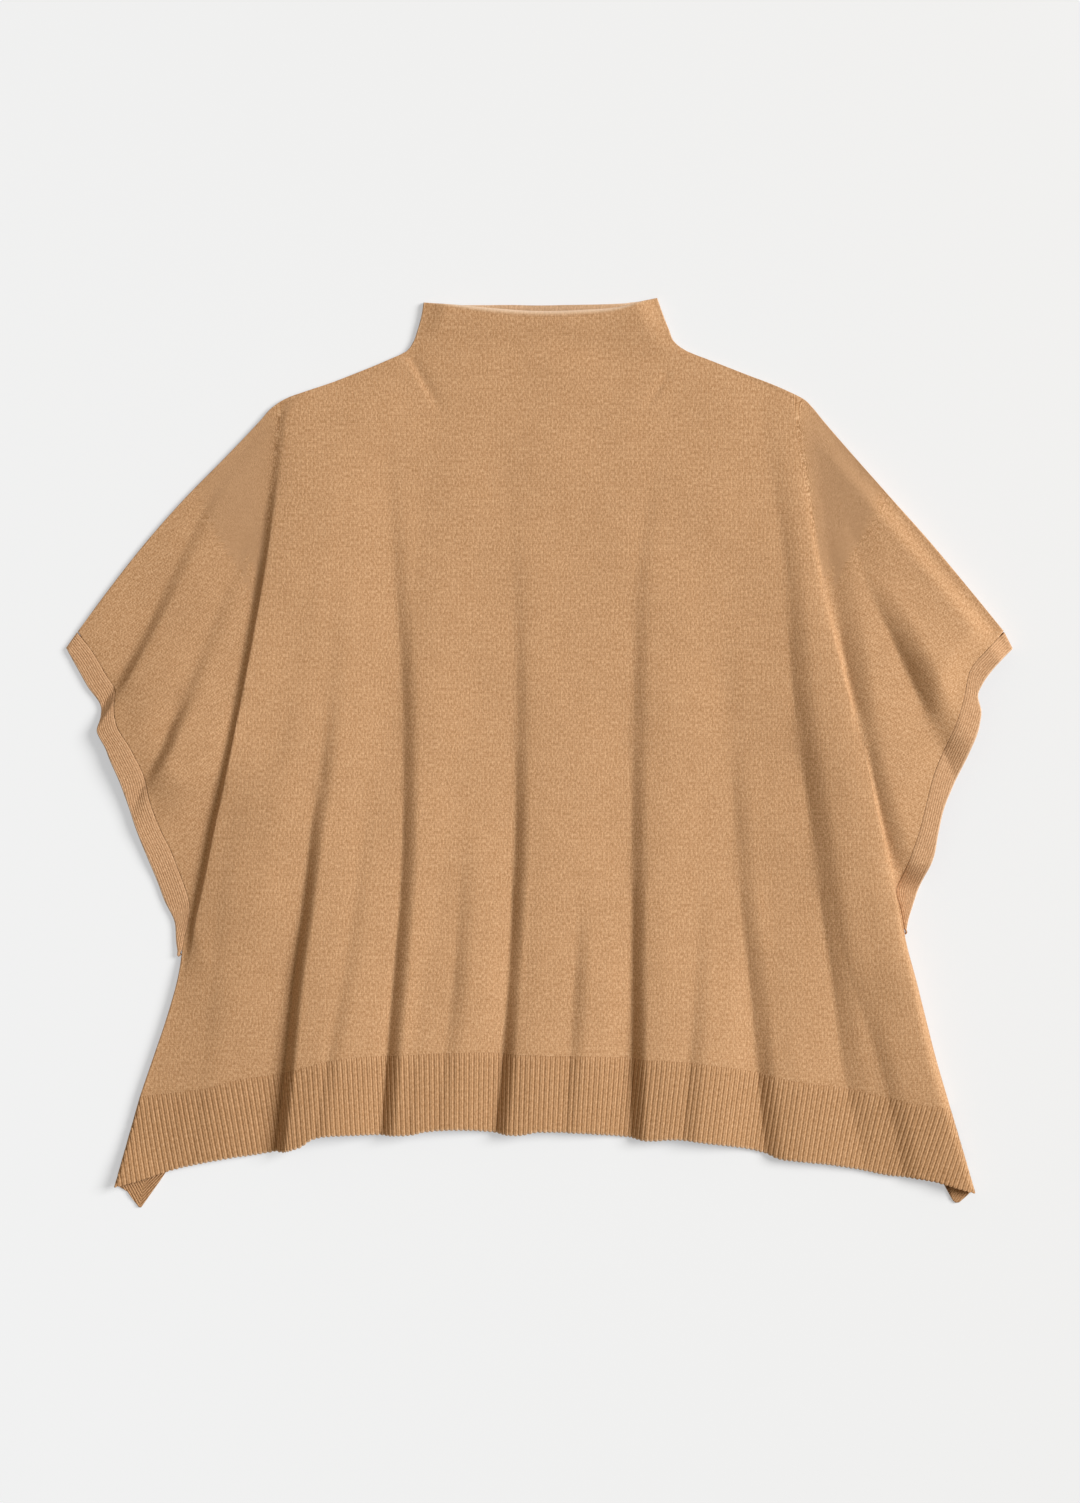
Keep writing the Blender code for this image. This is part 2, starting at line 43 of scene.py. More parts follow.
cloth = {
    "layer": 1.8,           # one layer of the fine knit
    "ribPitch": 4.35,       # one knit and one purl wale of the hem
    "neckLayer": 2.8,       # the funnel neck's turned edge
    "layerGap": 0.3,        # air between the back layer and the front layer
    "hemGap": 0.03,         # and between the front and its hem along their seam
    "wall": 1.5,            # thickness of the shells built here
    "edgeThin": (0.6, 2.5),     # a shell is this much thinner, this near to a folded side
    "chestFade": 40.0,      # folds start over this much height at the shoulders
    "topFade": (18.0, 20.0),    # and die out this far from the folded top of the left and the right sleeve
    "underarm": (-97.0, 26.0),  # the sides are folded below this y, and fully so this much further down
    "sideFade": 9.0,        # folds die out this far from the folded sides just below the underarms
    "sideSlope": (58.0, 9.0),   # further down the left and the right side climb over this width
    "slopeFrom": (-140.0, 90.0),    # from this y, and fully so this much further down
    "sideLip": (2.0, -160.0, 25.0),     # flat margin along the sides, and the y and the height over which it ends
    "bandReach": 30.0,      # the stiff armhole bands calm the folds from this far away
    "leanFade": 22.0,       # the tip of a crest fades over this much height
    "topRoll": (8.0, 50.0, 90.0),   # roll along the right sleeve's folded top: height, reach, length of its start
    "sideRolls": ((3.0, 40.0), (5.0, 75.0)),    # rolls along the left and the right folded side: height, reach
    "sideRollFrom": (-160.0, 45.0),     # from this y, and fully so this much further down
    "rollCurve": 1.5,       # how hollow the rolls' slopes are
    "cornerLift": (-364.0, -381.0, 4.0, 32.0),  # the hem's left corner lifts a little more: x, y, height, reach
    "swell": (0.16, 12.0),  # height of the faint swells, and how near to an edge they fade
    "sideFuzzAndHighlight": (0.3, 1.5),     # pale fibres and a painted highlight along a folded side: how strong, and how far in
}
base = cloth["layer"] + cloth["layerGap"]
# Heights on the y axis: where the folded sides start, the sleeves' tops, the shoulders, the neck's base and its rim.
underarmY, sleeveY, shoulderY, neckY, rimY = -135.0, 105.0, 286.0, 345.0, 395.0

# Outline rows from the neck down: y, left x, right x.
neckRows = (
    (395, -102, 103.5), (385, -103.5, 107.5), (370, -107.5, 114), (358.5, -112, 120),
    (351.5, -117.5, 130.5), (344.5, -132.5, 148.5), (337.5, -149, 166.3), (330.5, -166.5, 184.2),
    (323.5, -184.5, 202.8), (316.5, -204.7, 219), (309.5, -224, 232.8), (302.5, -234.7, 240),
    (291.5, -244.8, 249), (256.5, -278.5, 278.5), (221.5, -313, 309.2), (186, -344.5, 340.8),
    (145, -377, 375.1), (105, -406.5, 407.8),
)
# Armhole bands: y of the seam, left seam x, left edge x and y, right seam x, right edge x and y.
bandRows = (
    (105, -406.5, -416.3, 91, 407.8, 415.2, 90.5), (88.5, -393.5, -407, 74.5, 390.5, 398.8, 74.5),
    (70, -382.5, -397.5, 57.5, 375.5, 387, 58.5), (50.5, -371.5, -385.5, 39, 371, 383, 47),
    (41, -370, -385.3, 31, 368.5, 385.8, 35.5), (31, -369, -385.6, 21.5, 365.5, 384.3, 23.5),
    (6.5, -360, -378.9, -1.5, 355.5, 375.5, -0.5), (-23.5, -346.2, -367.2, -29.5, 343.5, 361, -32),
    (-42.5, -342, -360.7, -48, 338.5, 354, -49), (-66.5, -333.8, -353.2, -71, 332.5, 348.7, -71),
    (-86.5, -324.2, -344.3, -93.5, 326, 344.7, -92), (-107, -316.2, -335.6, -115, 318.5, 336.2, -112.5),
    (-124.5, -310, -328.5, -133.5, 313.5, 330.5, -128), (-135, -307.5, -322.5, -145, 316.5, 327.3, -138),
)
# Below the underarm each band narrows to a point beside the body: y of its inner line, x and y of its edge.
bandTips = {
    -1: ((-142, -321, -149), (-150, -320.2, -153), (-164, -319.4, -166.5), (-178.5, -317.2, -180.5)),
    1: ((-145, 324.4, -147.5), (-153, 323, -154.6), (-160, 321.8, -161)),
}
bandEnds = {-1: -183, 1: -164}
bandSteps = 170     # points along each band
# Folded sides below the bands: y, left x, right x.
sideRows = (
    (-107, -316.5, 318.5), (-124.5, -310, 313.5), (-135, -307.5, 316.5), (-168.6, -313, 322.5),
    (-202, -318.5, 331), (-236, -328, 339.5), (-270, -339.5, 348.3), (-310, -353.2, 360.4),
    (-381, -373.4, 382.9),
)
# Seam between the plain knit and the hem rib, then the hem's lower edge: x, y.
hemSeam = (
    (-351.2, -302.6), (-318, -299), (-288, -295), (-262.5, -288), (-223, -281.5), (-200.5, -274.5),
    (-184.5, -270.6), (-165, -267.8), (-126.5, -266), (-92, -264), (-61, -263.5), (-0.5, -266),
    (39, -267), (82.5, -269), (139.5, -273.2), (177.5, -278.8), (217, -287.5), (276, -297),
    (330.5, -308.5), (361, -312.8),
)
hemEdge = (
    (-373.4, -381), (-345, -373.8), (-322.4, -367), (-304.9, -363), (-287.3, -359.4), (-269.8, -356.3),
    (-252.2, -353.9), (-234.7, -351.1), (-218.9, -347.2), (-208.4, -343.4), (-199.6, -337.6), (-190.8, -335),
    (-173.3, -334.3), (-155.7, -334.5), (-138.2, -335), (-125, -334.6), (-111.9, -334), (-101.3, -331.8),
    (-85.5, -330.6), (-68, -330.7), (-50.4, -332.2), (-37.3, -333.8), (-24.1, -334.6), (-13.6, -334.2),
    (-3.1, -332.2), (11, -332.4), (46.1, -334.7), (75.9, -337.9), (86.4, -339.3), (98.7, -339.7),
    (116.3, -338.9), (133.8, -340.2), (151.3, -342.7), (186.4, -349.1), (198.7, -352.5), (209.3, -356.4),
    (219.8, -357.8), (251.4, -361.4), (286.5, -367.6), (304, -371.3), (321.6, -372.9), (339.1, -374.8),
    (382.9, -386.6),
)
# Rim of the front neck and top of the back neck: x, y.
frontRim = ((-102, 395), (-81, 393), (-43.5, 389.5), (-7.5, 387), (39, 388), (75, 391.5),
            (91, 396), (103.5, 399))
backRim = ((-98, 394), (-86, 393.9), (-68, 392.2), (-45, 393), (-20, 394.8), (20, 395.5),
           (45, 394.6), (75, 394.2), (90, 396), (101.5, 398))
# Folded top of each sleeve: shoulder point, then band tip.
sleeveTops = (((-233, 305), (-417, 90)), ((240, 303), (417, 90)))

# Folds. side is the steep flank, -1 left and +1 right, and steep is its width on the chest and on the belly. The
# lip is the share of the height that is climbed over the steep flank; the rest is climbed over the shoulder, and the
# cloth falls away over the gentle flank. lean is how far the crest tips over, and the y below which it doesn't. The
# x of its line and its rise are given at the heights of foldY.
foldY = (290, 150, 80, 10, -25, -60, -130, -200, -270, -390)
folds = (
    # name, side, steep, lip, shoulder, gentle, lean, x at each height, rise at each height
    ("leftSide", -1, (13, 13), 0.62, 56, 74, (9, -400),
     (-224, -240, -251.5, -265.5, -273.4, -281.5, -296.4, -315.5, -334.5, -369.5),
     (3.2, 8.6, 9.7, 10.3, 10.1, 10, 9.2, 5.2, 4.4, 1.5)),
    ("rightSide", 1, (9, 9), 0.7, 24, 84, (7, -400),
     (222, 246, 262.4, 279.5, 287.3, 295, 311, 326.7, 343.5, 378.5),
     (0, 3, 4.5, 6, 6.5, 7, 8, 4, 1, 0)),
    ("leftSleeveHigh", -1, (14, 9), 0.75, 36, 84, (4, 0),
     (-251, -318, -352.5, -395.5, -420, -438, -470, -500, -530, -595),
     (1, 3.5, 7.5, 9, 8.5, 8, 8, 0, 0, 0)),
    ("leftSleeveLow", -1, (15, 7), 0.75, 30, 60, (0, 0),
     (-194.5, -262, -289.8, -319.5, -339.5, -355, -383, -410.7, -440.5, -494.5),
     (0, 1.5, 3.2, 9.5, 8.9, 1.5, 0, 0, 0, 0)),
    ("leftFar", -1, (18, 18), 0.7, 30, 40, (0, 0),
     (-225, -232, -237.1, -244, -248.8, -254.1, -265, -274.1, -283, -299),
     (0, 0, 0, 0, 0.4, 0.8, 1.4, 1.4, 1.4, 0.8)),
    ("frontOne", -1, (15, 10.5), 0.86, 24, 84, (0, 0),
     (-157, -162, -168.6, -176, -181, -187.5, -196.8, -208.8, -216.8, -231),
     (0, 0.2, 1.2, 3.8, 6, 7.4, 10.8, 13.6, 14.8, 13.4)),
    ("frontOneSmall", -1, (14, 14), 0.7, 30, 34, (0, 0),
     (-136, -139, -140.5, -143, -145.1, -147.6, -154, -164.6, -178, -199),
     (0, 0, 0, 0, 0.5, 1, 1.6, 2.6, 3.6, 1.2)),
    ("frontTwo", -1, (13, 14), 0.82, 22, 84, (0, 0),
     (-126, -119, -114.9, -112.4, -112.2, -112.3, -115, -120.6, -126.3, -136.5),
     (0, 2.9, 4.9, 6.2, 6.9, 7.5, 9, 10.6, 11.8, 8.8)),
    ("frontTwoSmall", -1, (14, 16), 0.8, 20, 34, (0, 0),
     (-50, -52, -53.3, -55.5, -57.4, -59.4, -62.5, -67, -75, -90.5),
     (0, 0, 0, 0, 0, 0.2, 2.4, 5, 2.8, 0)),
    ("frontThree", -1, (13, 13), 0.86, 18, 88, (0, 0),
     (-26, -16, -13.8, -14, -14.2, -14.4, -17, -20.6, -25.5, -39),
     (0, 1.2, 2.9, 4.5, 5.7, 7, 9.4, 8.4, 11, 8.4)),
    ("frontThreeSmall", -1, (14, 14), 0.8, 20, 34, (0, 0),
     (42, 44, 44.3, 44, 43.7, 43.2, 41.5, 38.1, 33.5, 24),
     (0, 0, 0, 0, 0, 0, 0.6, 4.6, 3.8, 0)),
    ("frontFour", -1, (15, 13), 0.84, 20, 88, (0, 0),
     (117, 93, 90.6, 89, 88.6, 88.2, 88.4, 87.9, 88, 86.5),
     (0, 2.1, 3.7, 4.8, 5.1, 5.9, 8, 9.7, 11.4, 6.6)),
    ("frontFourSmall", -1, (15, 15), 0.8, 24, 34, (0, 0),
     (154, 152, 151.1, 150, 149.4, 148.8, 147, 144, 139, 129),
     (0, 0, 0, 0, 0, 0, 0.4, 2.4, 4, 3.4)),
    ("frontFive", -1, (15, 17), 0.8, 24, 70, (0, 0),
     (169, 168, 170.8, 175, 177.2, 179.6, 185, 192.5, 199, 211),
     (0, 0, 0.8, 1.6, 2.6, 3.8, 5, 6.9, 6.9, 4.9)),
    ("rightBody", -1, (18, 20), 0.6, 46, 150, (0, 0),
     (206, 223, 226, 233, 238.3, 243, 252.5, 264.5, 275, 302),
     (1, 4.9, 7, 9.4, 9.5, 9.4, 8.4, 8, 6, 0.8)),
    ("rightHem", -1, (16, 16), 0.8, 30, 34, (0, 0),
     (230, 236, 240.5, 246, 248.2, 250.9, 260, 278.6, 304, 331),
     (0, 0, 0, 0, 0.2, 0.5, 1, 2, 3, 3)),
    ("rightSleeveLow", -1, (23, 23), 0.84, 26, 150, (0, 0),
     (252, 268, 279, 288.4, 296, 306, 333, 360, 390, 440),
     (1, 4, 6.8, 10.2, 9.2, 8.6, 7, 0, 0, 0)),
    ("rightSleeveMid", -1, (24, 28), 0.8, 24, 150, (0, 0),
     (259, 299, 330.5, 363, 378.5, 394, 428, 462.5, 498, 563),
     (0, 2.4, 13.2, 13, 5.5, 1, 0, 0, 0, 0)),
)
# The share of a fold that an armhole band holds flat.
bandHold = {"leftSleeveHigh": 0.2, "leftSleeveLow": 0.4, "rightSleeveMid": 0.3, "rightSleeveLow": 0.15}


def smoothStep(t):
    t = np.clip(t, 0.0, 1.0)
    return t * t * (3.0 - 2.0 * t)


def between(value, low, high, ease):
    # 1 between two values, easing to 0 at each of them
    return smoothStep((value - low) / ease) * smoothStep((high - value) / ease)


def ribWave(turns, power):
    # 0 in a groove and 1 on a rib
    return (0.5 - 0.5 * np.cos(2.0 * math.pi * turns)) ** power


def runningSum(steps):
    return np.concatenate(([0.0], np.cumsum(steps)))


def readLine(points, x):
    return np.interp(x, [p[0] for p in points], [p[1] for p in points])


def readSmooth(xs, values, x):
    # a smooth curve through a short table, straight beyond its ends
    order = np.argsort(xs)
    xs = np.asarray(xs, dtype=float)[order]
    values = np.asarray(values, dtype=float)[order]
    slope = np.gradient(values, xs)
    x = np.asarray(x, dtype=float)
    inside = np.clip(x, xs[0], xs[-1])
    k = np.clip(np.searchsorted(xs, inside) - 1, 0, len(xs) - 2)
    step = xs[k + 1] - xs[k]
    t = (inside - xs[k]) / step
    value = (2 * t**3 - 3 * t**2 + 1) * values[k] + (t**3 - 2 * t**2 + t) * step * slope[k]
    value = value + (3 * t**2 - 2 * t**3) * values[k + 1] + (t**3 - t**2) * step * slope[k + 1]
    return value + (x - inside) * np.where(x > xs[-1], slope[-1], slope[0])


def alongLine(start, end, x, y):
    # how far a point is along a line, and to the right of it
    (x0, y0), (x1, y1) = start, end
    length = math.hypot(x1 - x0, y1 - y0)
    along = ((x - x0) * (x1 - x0) + (y - y0) * (y1 - y0)) / length
    return along, ((x - x0) * (y1 - y0) - (y - y0) * (x1 - x0)) / length


def sideX(column, y):
    return np.interp(y, [r[0] for r in sideRows][::-1], [r[column] for r in sideRows][::-1])


def readColumn(rows, column, y):
    return readSmooth([r[0] for r in rows], [r[column] for r in rows], y)


def readCurve(points, x):
    return readSmooth([p[0] for p in points], [p[1] for p in points], x)


def bandLines(side):
    # an armhole band's inner line and outer edge, and how far along it each of their points is
    column = 4 if side > 0 else 1
    below = [(float(readColumn(sideRows, 2 if side > 0 else 1, r[0])), r[0]) for r in bandTips[side]]
    inner = np.array([(r[column], r[0]) for r in bandRows] + below)
    outer = np.array([(r[column + 1], r[column + 2]) for r in bandRows] + [r[1:] for r in bandTips[side]])
    run = runningSum(np.hypot(*np.diff((inner + outer) / 2.0, axis=0).T))
    t = np.linspace(0.0, run[-1], bandSteps)
    inner = np.stack([readSmooth(run, inner[:, k], t) for k in (0, 1)], axis=1)
    outer = np.stack([readSmooth(run, outer[:, k], t) for k in (0, 1)], axis=1)
    return t, inner, outer


bands = {side: bandLines(side) for side in (-1, 1)}


def seamX(side, y):
    inner = bands[side][1][::-1]
    return np.interp(y, inner[:, 1], inner[:, 0])


def foldLine(fold, y):
    return readSmooth(foldY, fold[7], y)


def foldRise(fold, y):
    value = np.interp(y, foldY[::-1], fold[8][::-1])
    return value * (1.0 - smoothStep((np.asarray(y) - foldY[0]) / cloth["chestFade"]))


def foldFlank(t):
    # a tight foot and a round crest
    t = np.clip(t, 0.0, 1.0)
    return 0.7 * t * (2.0 - t) + 0.3 * smoothStep(t)


def foldSteep(fold, y):
    # the steep flank's width, down from the chest to the belly
    return np.interp(y, (-130.0, 150.0), fold[2][::-1])


def foldShare(fold, x, y):
    # one steep flank and one gentle one, as a share of the fold's height
    side, steep, (lip, shoulder, gentle) = fold[1], foldSteep(fold, y), fold[3:6]
    slant = (foldLine(fold, y + 1.0) - foldLine(fold, y - 1.0)) / 2.0
    across = -side * (x - foldLine(fold, y)) / np.sqrt(1.0 + slant**2)
    slow = np.clip((across + 0.5 * steep) / shoulder, 0.0, 1.0)
    climb = lip * foldFlank(across / steep + 0.5) + (1.0 - lip) * slow * (2.0 - slow)
    fall = np.clip((across - shoulder) / gentle, 0.0, 1.0)
    return climb * (1.0 - 0.6 * fall - 0.4 * smoothStep(fall))


def sleeveFade(x, y):
    fade = 1.0
    for top, turn, width in zip(sleeveTops, (-1.0, 1.0), cloth["topFade"]):
        fade = fade * smoothStep(turn * alongLine(*top, x, y)[1] / width)
    return fade


def sideFade(x, y):
    (start, over), (slopeStart, slopeOver) = cloth["underarm"], cloth["slopeFrom"]
    low = smoothStep((start - y) / over)
    lip, lipStart, lipOver = cloth["sideLip"]
    lip = lip * (1.0 - smoothStep((lipStart - y) / lipOver))
    fade = 1.0
    for column, turn, width in zip((1, 2), (1.0, -1.0), cloth["sideSlope"]):
        width = cloth["sideFade"] + (width - cloth["sideFade"]) * smoothStep((slopeStart - y) / slopeOver)
        near = np.clip((turn * (x - sideX(column, y)) - lip) / width, 0.0, 1.0)
        fade = fade * (1.0 - low * (1.0 - near * (2.0 - near)))
    return fade


def edgeRoll(x, y):
    # what the rolls along the right sleeve's top and both sides add to the height
    curve = cloth["rollCurve"]
    along, away = alongLine(*sleeveTops[1], x, y)
    height, reach, start = cloth["topRoll"]
    roll = height * np.clip(1.0 - away / reach, 0.0, 1.0) ** curve * smoothStep(along / start)
    start, over = cloth["sideRollFrom"]
    low = smoothStep((start - y) / over)
    for column, turn, (height, reach) in zip((1, 2), (1.0, -1.0), cloth["sideRolls"]):
        roll = roll + height * low * np.clip(1.0 - turn * (x - sideX(column, y)) / reach, 0.0, 1.0) ** curve
    x0, y0, height, reach = cloth["cornerLift"]
    return roll + height * np.exp(-((x - x0) ** 2 + (y - y0) ** 2) / reach**2)


def seamShare(x, y):
    # 0 on an armhole band, 1 further in
    level = np.clip(y, underarmY, sleeveY)
    inside = np.minimum(x - seamX(-1, level), seamX(1, level) - x)
    return smoothStep(inside / cloth["bandReach"])


def clothRise(x, y):
    rise = 0.0
    free = seamShare(x, y)
    for fold in folds:
        held = 1.0 - bandHold.get(fold[0], 0.0) * (1.0 - free)
        rise = rise + foldRise(fold, y) * foldShare(fold, x, y) * held
    return rise * sleeveFade(x, y) * sideFade(x, y) + edgeRoll(x, y)


def clothLean(x, y):
    shift = 0.0
    for fold in folds:
        lean, stop = fold[6]
        if lean:
            lip = smoothStep(-fold[1] * (x - foldLine(fold, y)) / foldSteep(fold, y) + 0.5)
            lip = lip * smoothStep((y - stop) / cloth["leanFade"])
            shift = shift + fold[1] * lean * lip * foldShare(fold, x, y) * foldRise(fold, y) / max(fold[8])
    return shift * sideFade(x, y)


def softWaves(x, y):
    # faint swells that no real cloth is without
    waves = ((0.05, 0.021, 0.3), (-0.031, 0.047, 1.7), (0.083, -0.012, 4.1), (0.017, 0.069, 2.6),
             (0.061, 0.058, 5.2))
    return sum(cloth["swell"][0] * np.sin(a * x + b * y + c) for a, b, c in waves)


def gridNormals(points):
    across = np.gradient(points, axis=1)
    along = np.gradient(points, axis=0)
    normal = np.cross(across, along)
    return normal / np.maximum(np.linalg.norm(normal, axis=2, keepdims=True), 1e-9)


def innerFace(outer, wall, loop=False):
    # wall is the thickness in mm, a number or by row and column
    if loop:
        normal = gridNormals(np.concatenate((outer[-2:-1], outer, outer[1:2])))[1:-1]
    else:
        normal = gridNormals(outer)
    return outer - normal * (np.ones(outer.shape[:2]) * wall)[:, :, None]


def addObject(name, data):
    obj = bpy.data.objects.new(name, data)
    bpy.context.scene.collection.objects.link(obj)
    return obj


def shellObject(name, material, outer, inner, uv, loop=False, uvTwo=None, share=None, fuzzAndHighlight=None):
    # outer and inner are rows x columns x 3 in mm, and outer is seen from outside
    rows, columns = outer.shape[:2]
    if loop:
        outer, inner, rows = outer[:-1], inner[:-1], rows - 1
    count = rows * columns
    index = np.arange(count).reshape(rows, columns)
    if loop:
        index = np.concatenate((index, index[:1]))
    a, b, c, d = index[:-1, :-1], index[:-1, 1:], index[1:, 1:], index[1:, :-1]
    top = np.stack((a, b, c, d), axis=2).reshape(-1, 4)
    faces = [top, top[:, ::-1] + count]

    def strip(line):
        low = line + count
        faces.append(np.stack((line[1:], line[:-1], low[:-1], low[1:]), axis=1))

    if not loop:
        strip(index[0])
        strip(index[-1][::-1])
    strip(index[::-1, 0])
    strip(index[:, -1])
    faces = np.concatenate(faces)
    corners = np.concatenate((outer.reshape(-1, 3), inner.reshape(-1, 3))) * mm
    mesh = bpy.data.meshes.new(name)
    mesh.from_pydata(corners.tolist(), [], faces.tolist())
    mesh.update()
    corner = np.zeros(len(mesh.loops), dtype=np.int32)
    mesh.loops.foreach_get("vertex_index", corner)
    values = np.tile(uv[:rows].reshape(-1, 2), (2, 1))[corner]
    if share is not None:
        # the second map takes over by this share, and a face across which it changes fast gets one map only
        other = np.tile(uvTwo.reshape(-1, 2), (2, 1))[corner]
        part = np.tile(share.reshape(-1), 2)[corner].reshape(-1, 4)
        spread = part.max(axis=1) - part.min(axis=1)
        part = np.where(spread[:, None] > 0.4, np.round(part.mean(axis=1))[:, None], part).reshape(-1, 1)
        values = values * (1.0 - part) + other * part
    if loop:
        # the last row of faces joins back to the first, so its map runs on instead of jumping back
        span = float(uv[-1, 0, 1] - uv[0, 0, 1])
        quads = values.reshape(-1, 4, 2)
        jump = (quads[:, :, 1].max(axis=1) - quads[:, :, 1].min(axis=1)) > span / 2.0
        quads[jump, :, 1] += np.where(quads[jump, :, 1] < span / 2.0, span, 0.0)
        values = quads.reshape(-1, 2)
    layer = mesh.uv_layers.new(name="knit")
    layer.data.foreach_set("uv", values.astype(np.float32).reshape(-1))
    # each point's share of pale fibres and painted highlight, for the knit material
    if fuzzAndHighlight is not None:
        mark = mesh.attributes.new("fuzzAndHighlight", "FLOAT", "POINT")
        mark.data.foreach_set("value", np.tile(fuzzAndHighlight[:rows].reshape(-1), 2).astype(np.float32))
    mesh.shade_smooth()
    mesh.set_sharp_from_angle(angle=math.radians(62))
    mesh.materials.append(material)
    return addObject(name, mesh)


def sheetArea(points):
    a = points[1:, 1:] - points[:-1, :-1]
    b = points[1:, :-1] - points[:-1, 1:]
    return float(np.linalg.norm(np.cross(a, b), axis=2).sum() / 2.0) * mm * mm


def edgeDrop(distance, width, drop):
    # quarter of an ellipse, as a folded or cast-off edge turns down
    t = 1.0 - np.clip(distance / width, 0.0, 1.0)
    return drop * (1.0 - np.sqrt(np.maximum(1.0 - t * t, 0.0)))


def edgeFuzzAndHighlight(distance, amount, reach):
    # how pale an edge gets: its brushed fibres, and a painted highlight of the light through them
    return amount * (1.0 - smoothStep(distance / reach))


def edgeWall(distance):
    thinner, reach = cloth["edgeThin"]
    return cloth["wall"] - thinner * (distance < reach)


def toLinear(hexText):
    parts = [int(hexText[i:i + 2], 16) / 255.0 for i in (1, 3, 5)]
    return tuple(c / 12.92 if c <= 0.04045 else ((c + 0.055) / 1.055) ** 2.4 for c in parts) + (1.0,)


def openSocket(node, key):
    # a node may have several sockets of one name, of which its settings leave one open
    if isinstance(key, int):
        return node.inputs[key]
    return next(i for i in node.inputs if i.name == key and i.enabled)


def addNode(tree, kind, values=None):
    # values are the node's own settings or, by socket name or number, its inputs; a socket, or the first output of a
    # node, is linked to the input
    node = tree.nodes.new("ShaderNode" + kind)
    for key, value in (values or {}).items():
        if isinstance(key, str) and hasattr(node, key):
            setattr(node, key, value)
        elif isinstance(value, (bpy.types.Node, bpy.types.NodeSocket)):
            source = value.outputs[0] if isinstance(value, bpy.types.Node) else value
            tree.links.new(source, openSocket(node, key))
        else:
            openSocket(node, key).default_value = value
    return node


def newMaterial(name):
    material = bpy.data.materials.new(name)
    material.use_nodes = True
    material.node_tree.nodes.clear()
    return material, material.node_tree


stockinette = {
    "wale": 2.2,            # mm between two columns of stitches
    "course": 1.6,          # mm between two rows
    "sway": 3.0,            # mm by which a column wanders
    "drift": 100.0 / 3.0,   # and mm along it over which it does
    "tuft": 4.0 / 3.0,      # mm across a tuft of loose fibres
    "patch": 100.0 / 7.0,   # mm across a slow change of tone
    "deep": "#8F6A47",      # yarn down between the stitches
    "yarn": "#B78C64",      # camel cashmere
    "light": "#DCB58F",     # loose pale fibres
    "fuzzHighlight": "#E9D1B9",      # pale fibres along an edge, with a painted highlight of the light through them
    "loops": 0.14,          # how far each stitch stands out along its column
    "paintedGrooveShade": 0.0,          # how much painted shade darkens the purl columns
    "bump": 0.4,            # mm
    "shares": (0.3, 1.1, 0.1),  # of the stitches, the loose fibres and the slow changes in the cloth's tone
    "ramp": (0.4, 0.72, 1.0),   # the tones that get the deep, the yarn's and the light colour
    "rough": (0.97, 0.84),  # in the hollows of the fibres and on their tips
}
# The hem rib's colours are darker than the plain knit's: painted shade of its deep ribs.
hemKnit = dict(stockinette, wale=cloth["ribPitch"], sway=0.0, loops=0.06, paintedGrooveShade=0.23, bump=0.25,
               deep="#866240", yarn="#B0865F", light="#CFA781")
# The bands' colours are painted lighter than the plain knit's, against the shade of their own fine ribs.
bandKnit = dict(stockinette, wale=2.0, sway=0.0, deep="#96724F", yarn="#BE926C", paintedGrooveShade=0.2, bump=0.3)


